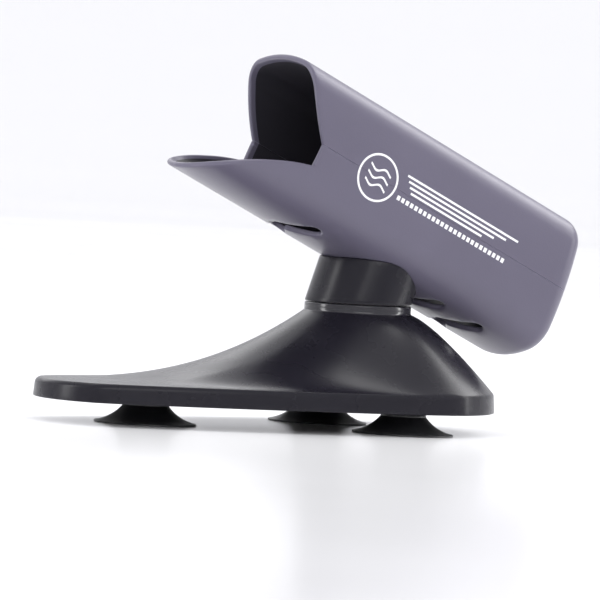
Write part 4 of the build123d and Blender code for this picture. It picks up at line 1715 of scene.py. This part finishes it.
def print_tree():
    """A tree that lays out the airflow pattern: a ring with waves, stripes and a row of dashes."""
    inputs = (
        ("Start", "Geometry"), ("Line", "Float"), ("Ink", "Float"), ("Emblem Place", "Float"),
        ("Emblem Radius", "Float"), ("Stripe Place", "Float"), ("Stripe Length", "Float"),
        ("Side Arc", "Float"), ("Material", "Material"),
    )
    tree = new_tree("Airflow print", inputs, "Print")
    nodes = tree.nodes
    given = nodes.new("NodeGroupInput")
    result = nodes.new("NodeGroupOutput")

    circle = nodes.new("GeometryNodeCurvePrimitiveCircle")
    circle.label = "Ring"
    circle.inputs["Resolution"].default_value = 96
    edge = nodes.new("GeometryNodeCurvePrimitiveQuadrilateral")
    edge.label = "Line's cross-section"
    ring_mesh = nodes.new("GeometryNodeCurveToMesh")
    ring_mesh.label = "Draw the ring"
    ring_place = nodes.new("ShaderNodeCombineXYZ")
    set_ring = nodes.new("GeometryNodeTransform")
    set_ring.label = "Place the ring"

    wave_length = nodes.new("ShaderNodeMath")
    wave_length.label = "Wave length"
    wave_length.operation = "MULTIPLY"
    wave_length.inputs[1].default_value = 1.18
    wave_size = nodes.new("ShaderNodeCombineXYZ")
    wave_bar = nodes.new("GeometryNodeMeshCube")
    wave_bar.label = "Wave before bending"
    wave_bar.inputs["Vertices X"].default_value = 40
    wave_spot = nodes.new("GeometryNodeInputPosition")
    wave_parts = nodes.new("ShaderNodeSeparateXYZ")
    phase = nodes.new("ShaderNodeMath")
    phase.label = "Waves along the bar"
    phase.operation = "MULTIPLY"
    phase.inputs[1].default_value = 620.0
    swing = nodes.new("ShaderNodeMath")
    swing.operation = "SINE"
    height = nodes.new("ShaderNodeMath")
    height.label = "Height of a wave"
    height.operation = "MULTIPLY"
    height.inputs[1].default_value = 0.0011
    wave_shift = nodes.new("ShaderNodeCombineXYZ")
    wave_set = nodes.new("GeometryNodeSetPosition")
    wave_set.label = "Bend into a wave"
    wave_line = nodes.new("GeometryNodeMeshLine")
    wave_line.label = "Three waves"
    wave_line.inputs["Count"].default_value = 3
    wave_line.inputs["Offset"].default_value = (0.0, -0.0040, 0.0)
    wave_first = nodes.new("ShaderNodeVectorMath")
    wave_first.label = "First wave"
    wave_first.operation = "ADD"
    wave_first.inputs[1].default_value = (0.0, 0.0040, 0.0)
    wave_copies = nodes.new("GeometryNodeInstanceOnPoints")

    stripe_size = nodes.new("ShaderNodeCombineXYZ")
    stripe_bar = nodes.new("GeometryNodeMeshCube")
    stripe_bar.label = "Stripe"
    stripe_bar.inputs["Vertices X"].default_value = 2
    stripe_half = nodes.new("ShaderNodeMath")
    stripe_half.label = "Half stripe"
    stripe_half.operation = "MULTIPLY"
    stripe_half.inputs[1].default_value = 0.5
    stripe_shift = nodes.new("ShaderNodeCombineXYZ")
    stripe_from_end = nodes.new("GeometryNodeTransform")
    stripe_from_end.label = "Start the stripe at its end"
    stripe_line = nodes.new("GeometryNodeMeshLine")
    stripe_line.label = "Four stripes"
    stripe_line.inputs["Count"].default_value = 4
    stripe_line.inputs["Offset"].default_value = (0.0018, -0.0024, 0.0)
    stripe_first = nodes.new("ShaderNodeCombineXYZ")
    stripe_first.inputs["Y"].default_value = 0.0088
    stripe_number = nodes.new("GeometryNodeInputIndex")
    stripe_scale = nodes.new("ShaderNodeMath")
    stripe_scale.label = "Shorter each time"
    stripe_scale.operation = "MULTIPLY_ADD"
    stripe_scale.inputs[1].default_value = -0.12
    stripe_scale.inputs[2].default_value = 1.0
    stripe_stretch = nodes.new("ShaderNodeCombineXYZ")
    stripe_stretch.inputs["Y"].default_value = 1.0
    stripe_stretch.inputs["Z"].default_value = 1.0
    stripe_copies = nodes.new("GeometryNodeInstanceOnPoints")

    dash_width = nodes.new("ShaderNodeMath")
    dash_width.label = "Dash length"
    dash_width.operation = "MULTIPLY"
    dash_width.inputs[1].default_value = 1.7
    dash_height = nodes.new("ShaderNodeMath")
    dash_height.label = "Dash height"
    dash_height.operation = "MULTIPLY"
    dash_height.inputs[1].default_value = 2.1
    dash_size = nodes.new("ShaderNodeCombineXYZ")
    dash_bar = nodes.new("GeometryNodeMeshCube")
    dash_bar.label = "Dash"
    dash_line = nodes.new("GeometryNodeMeshLine")
    dash_line.label = "Row of dashes"
    dash_line.inputs["Count"].default_value = 25
    dash_line.inputs["Offset"].default_value = (0.0029, 0.0, 0.0)
    dash_first = nodes.new("ShaderNodeCombineXYZ")
    dash_first.inputs["Y"].default_value = -0.0035
    dash_copies = nodes.new("GeometryNodeInstanceOnPoints")

    together = nodes.new("GeometryNodeJoinGeometry")
    real = nodes.new("GeometryNodeRealizeInstances")
    spot = nodes.new("GeometryNodeInputPosition")
    parts = nodes.new("ShaderNodeSeparateXYZ")
    square = nodes.new("ShaderNodeMath")
    square.label = "Height squared"
    square.operation = "POWER"
    square.inputs[1].default_value = 2.0
    twice = nodes.new("ShaderNodeMath")
    twice.label = "Twice the side's arc"
    twice.operation = "MULTIPLY"
    twice.inputs[1].default_value = -2.0
    fall = nodes.new("ShaderNodeMath")
    fall.label = "Fall of the side"
    fall.operation = "DIVIDE"
    onto = nodes.new("ShaderNodeCombineXYZ")
    wrap = nodes.new("GeometryNodeSetPosition")
    wrap.label = "Wrap onto the side"
    paint = nodes.new("GeometryNodeSetMaterial")

    spread_nodes(tree, 13)

    wires = (
        (given, "Emblem Radius", circle, "Radius"),
        (given, "Line", edge, "Width"),
        (given, "Ink", edge, "Height"),
        (circle, "Curve", ring_mesh, "Curve"),
        (edge, "Curve", ring_mesh, "Profile Curve"),
        (given, "Emblem Place", ring_place, "X"),
        (ring_mesh, "Mesh", set_ring, "Geometry"),
        (ring_place, "Vector", set_ring, "Translation"),

        (given, "Emblem Radius", wave_length, 0),
        (wave_length, 0, wave_size, "X"),
        (given, "Line", wave_size, "Y"),
        (given, "Ink", wave_size, "Z"),
        (wave_size, "Vector", wave_bar, "Size"),
        (wave_spot, "Position", wave_parts, "Vector"),
        (wave_parts, "X", phase, 0),
        (phase, 0, swing, 0),
        (swing, 0, height, 0),
        (height, 0, wave_shift, "Y"),
        (wave_bar, "Mesh", wave_set, "Geometry"),
        (wave_shift, "Vector", wave_set, "Offset"),
        (ring_place, "Vector", wave_first, 0),
        (wave_first, "Vector", wave_line, "Start Location"),
        (wave_line, "Mesh", wave_copies, "Points"),
        (wave_set, "Geometry", wave_copies, "Instance"),

        (given, "Stripe Length", stripe_size, "X"),
        (given, "Line", stripe_size, "Y"),
        (given, "Ink", stripe_size, "Z"),
        (stripe_size, "Vector", stripe_bar, "Size"),
        (given, "Stripe Length", stripe_half, 0),
        (stripe_half, 0, stripe_shift, "X"),
        (stripe_bar, "Mesh", stripe_from_end, "Geometry"),
        (stripe_shift, "Vector", stripe_from_end, "Translation"),
        (given, "Stripe Place", stripe_first, "X"),
        (stripe_first, "Vector", stripe_line, "Start Location"),
        (stripe_number, "Index", stripe_scale, 0),
        (stripe_scale, 0, stripe_stretch, "X"),
        (stripe_line, "Mesh", stripe_copies, "Points"),
        (stripe_from_end, "Geometry", stripe_copies, "Instance"),
        (stripe_stretch, "Vector", stripe_copies, "Scale"),

        (given, "Line", dash_width, 0),
        (given, "Line", dash_height, 0),
        (dash_width, 0, dash_size, "X"),
        (dash_height, 0, dash_size, "Y"),
        (given, "Ink", dash_size, "Z"),
        (dash_size, "Vector", dash_bar, "Size"),
        (given, "Stripe Place", dash_first, "X"),
        (dash_first, "Vector", dash_line, "Start Location"),
        (dash_line, "Mesh", dash_copies, "Points"),
        (dash_bar, "Mesh", dash_copies, "Instance"),

        (set_ring, "Geometry", together, 0),
        (wave_copies, "Instances", together, 0),
        (stripe_copies, "Instances", together, 0),
        (dash_copies, "Instances", together, 0),
        (together, 0, real, "Geometry"),
        (spot, "Position", parts, "Vector"),
        (parts, "Y", square, 0),
        (given, "Side Arc", twice, 0),
        (square, 0, fall, 0),
        (twice, 0, fall, 1),
        (fall, 0, onto, "Z"),
        (real, "Geometry", wrap, "Geometry"),
        (onto, "Vector", wrap, "Offset"),
        (wrap, "Geometry", paint, "Geometry"),
        (given, "Material", paint, "Material"),
        (paint, "Geometry", result, "Print"),
    )
    wire_up(tree, wires)
    return tree


class HOLDER_OT_side_print(Operator):
    """Print the plain airflow pattern on the tube's right side"""

    bl_idname = "holder.side_print"
    bl_label = "Side print"
    bl_options = {"REGISTER", "UNDO"}

    def execute(self, context):
        sizes, tube = context.scene.holder_print, context.scene.holder_tube
        piece = put_in_scene("side_print", points_mesh("side_print", [(0.0, 0.0, 0.0)]))
        values = {
            "Line": sizes.line, "Ink": sizes.ink * 2.0, "Emblem Place": sizes.emblem_place,
            "Emblem Radius": sizes.emblem_radius, "Stripe Place": sizes.stripe_place,
            "Stripe Length": sizes.stripe_length, "Side Arc": tube.side_arc,
            "Material": finish_for("print_ink"),
        }
        mesh = run_tree(piece, print_tree(), values)
        flat = np.empty(len(mesh.vertices) * 3)
        mesh.vertices.foreach_get("co", flat)
        flat = flat.reshape(-1, 3)
        local = np.stack([flat[:, 0], -(tube.half_width + flat[:, 2]), flat[:, 1]], axis=1)
        mesh.vertices.foreach_set("co", tube_world(tube, local).ravel())
        settle_mesh(mesh)
        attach(piece, "head")
        return {"FINISHED"}


# ---------------------------------------------------------------- stage


class HOLDER_OT_stage(Operator):
    """Build the pale floor, the soft lights and the camera"""

    bl_idname = "holder.stage"
    bl_label = "Stage"
    bl_options = {"REGISTER", "UNDO"}

    def execute(self, context):
        stage = context.scene.holder_stage
        make_floor()
        make_lights()
        make_camera(stage)
        return {"FINISHED"}


def make_floor():
    """A wide round floor that curves up far away on every side."""
    radii = [0.0, 0.3, 0.8, 1.6, 3.0, 5.0]
    heights = [0.0] * 6
    for step in range(1, 15):
        turn = math.pi / 2.0 * step / 14.0
        radii.append(5.0 + 3.0 * math.sin(turn))
        heights.append(3.0 * (1.0 - math.cos(turn)))
    columns = 96
    angle = np.arange(columns) * 2.0 * math.pi / columns
    points = [(0.0, 0.0, 0.0)]
    for radius, height in zip(radii[1:], heights[1:]):
        points += [(radius * math.cos(a), radius * math.sin(a), height) for a in angle]
    faces = [(0, 1 + step, 1 + (step + 1) % columns) for step in range(columns)]
    for row in range(len(radii) - 2):
        for step in range(columns):
            first, second = 1 + row * columns, 1 + (row + 1) * columns
            after = (step + 1) % columns
            faces.append((first + step, second + step, second + after, first + after))
    mesh = bpy.data.meshes.new("studio_floor")
    mesh.from_pydata(points, [], faces)
    mesh.shade_smooth()
    mesh.materials.append(white_sweep("studio_white"))
    floor = put_in_scene("studio_floor", mesh)
    floor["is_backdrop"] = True


def make_lights():
    """Large soft boxes above, in front and at each end, and an even white surround."""
    centre = Vector((0.0, 0.0, 0.09))
    plan = (
        ("band_box", (1.30, 0.10, 1.05), (1.0, 0.7), 11.0),
        ("top_strip", (0.20, 0.30, 1.70), (1.4, 0.3), 9.0),
        ("back_box", (0.3, 1.7, 0.9), (1.6, 0.5), 3.0),
        ("left_box", (-1.7, 0.7, 0.55), (0.4, 1.0), 8.0),
        ("right_box", (1.6, -0.6, 0.5), (0.25, 0.9), 5.0),
        ("front_box", (-0.7, -2.2, 1.0), (1.6, 0.4), 8.0),
    )
    for name, place, size, power in plan:
        light = bpy.data.lights.new(name, "AREA")
        light.shape = "RECTANGLE"
        light.size, light.size_y = size
        light.energy = power
        lamp = bpy.data.objects.new(name, light)
        bpy.context.scene.collection.objects.link(lamp)
        lamp.location = place
        lamp.rotation_mode = "QUATERNION"
        lamp.rotation_quaternion = (centre - Vector(place)).to_track_quat("-Z", "Y")
    world = bpy.data.worlds.new("white_surround")
    bpy.context.scene.world = world
    world.use_nodes = True
    surround = world.node_tree.nodes["Background"]
    surround.inputs["Color"].default_value = (0.96, 0.96, 1.0, 1.0)
    surround.inputs["Strength"].default_value = 1.08


def make_camera(stage):
    """The camera, level with the holder and looking a little down at its mouth side."""
    cos, sin = math.cos(stage.turn), math.sin(stage.turn)
    level = math.cos(stage.fall)
    ahead = Vector((sin * level, cos * level, -math.sin(stage.fall)))
    right = Vector((cos, -sin, 0.0))
    up = right.cross(ahead)
    rolled_right = right * math.cos(stage.roll) + up * math.sin(stage.roll)
    rolled_up = up * math.cos(stage.roll) - right * math.sin(stage.roll)
    aim = Vector(stage.aim) + Vector((SWIVEL_X, 0.0, 0.0))
    lens = bpy.data.cameras.new("camera")
    lens.sensor_width = 36.0
    lens.lens = stage.lens
    lens.clip_end = 60.0
    camera = bpy.data.objects.new("camera", lens)
    bpy.context.scene.collection.objects.link(camera)
    axes = Matrix((rolled_right, rolled_up, -ahead)).transposed()
    camera.matrix_world = Matrix.Translation(aim - ahead * stage.distance) @ axes.to_4x4()
    bpy.context.scene.camera = camera


# ---------------------------------------------------------------- panel and run


class HOLDER_PT_sidebar(Panel):
    """Lists the holder's pieces"""

    bl_idname = "HOLDER_PT_sidebar"
    bl_label = "Dryer Holder"
    bl_space_type = "VIEW_3D"
    bl_region_type = "UI"
    bl_category = "Dryer Holder"

    def draw(self, context):
        for operator in OPERATORS:
            self.layout.operator(operator.bl_idname)
        for key, group in SETTINGS.items():
            box = self.layout.box()
            box.label(text=key.removeprefix("holder_").capitalize())
            for name in group.__annotations__:
                box.prop(getattr(context.scene, key), name)


SETTINGS = {
    "holder_base": HolderBaseSizes,
    "holder_neck": HolderNeckSizes,
    "holder_tube": HolderTubeSizes,
    "holder_vents": HolderVentSizes,
    "holder_cups": HolderCupSizes,
    "holder_screws": HolderScrewSizes,
    "holder_print": HolderPrintSizes,
    "holder_finish": HolderFinish,
    "holder_stage": HolderStageSizes,
}
OPERATORS = (
    HOLDER_OT_inner_parts,
    HOLDER_OT_base_cover,
    HOLDER_OT_bottom_cover,
    HOLDER_OT_suction_cups,
    HOLDER_OT_screws,
    HOLDER_OT_neck,
    HOLDER_OT_tube_halves,
    HOLDER_OT_side_print,
    HOLDER_OT_stage,
)


def register():
    """Makes the settings, operators and panel known to Blender."""
    for cls in (*SETTINGS.values(), *OPERATORS, HOLDER_PT_sidebar):
        bpy.utils.register_class(cls)
    for key, group in SETTINGS.items():
        setattr(bpy.types.Scene, key, PointerProperty(type=group))


def unregister():
    """Takes them away again."""
    for key in SETTINGS:
        delattr(bpy.types.Scene, key)
    for cls in reversed((*SETTINGS.values(), *OPERATORS, HOLDER_PT_sidebar)):
        bpy.utils.unregister_class(cls)


def main():
    """Builds every piece in order."""
    register()
    bpy.context.scene.view_settings.view_transform = "Standard"
    bpy.ops.holder.inner_parts()
    bpy.ops.holder.base_cover()
    bpy.ops.holder.bottom_cover()
    bpy.ops.holder.suction_cups()
    bpy.ops.holder.screws()
    bpy.ops.holder.neck()
    bpy.ops.holder.tube_halves()
    bpy.ops.holder.side_print()
    bpy.ops.holder.stage()
    boxes = {"cad": CAD_BOX, "visual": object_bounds()}
    boxes = {name: [list(corner) for corner in box] for name, box in boxes.items()}


if __name__ == "__main__":
    main()
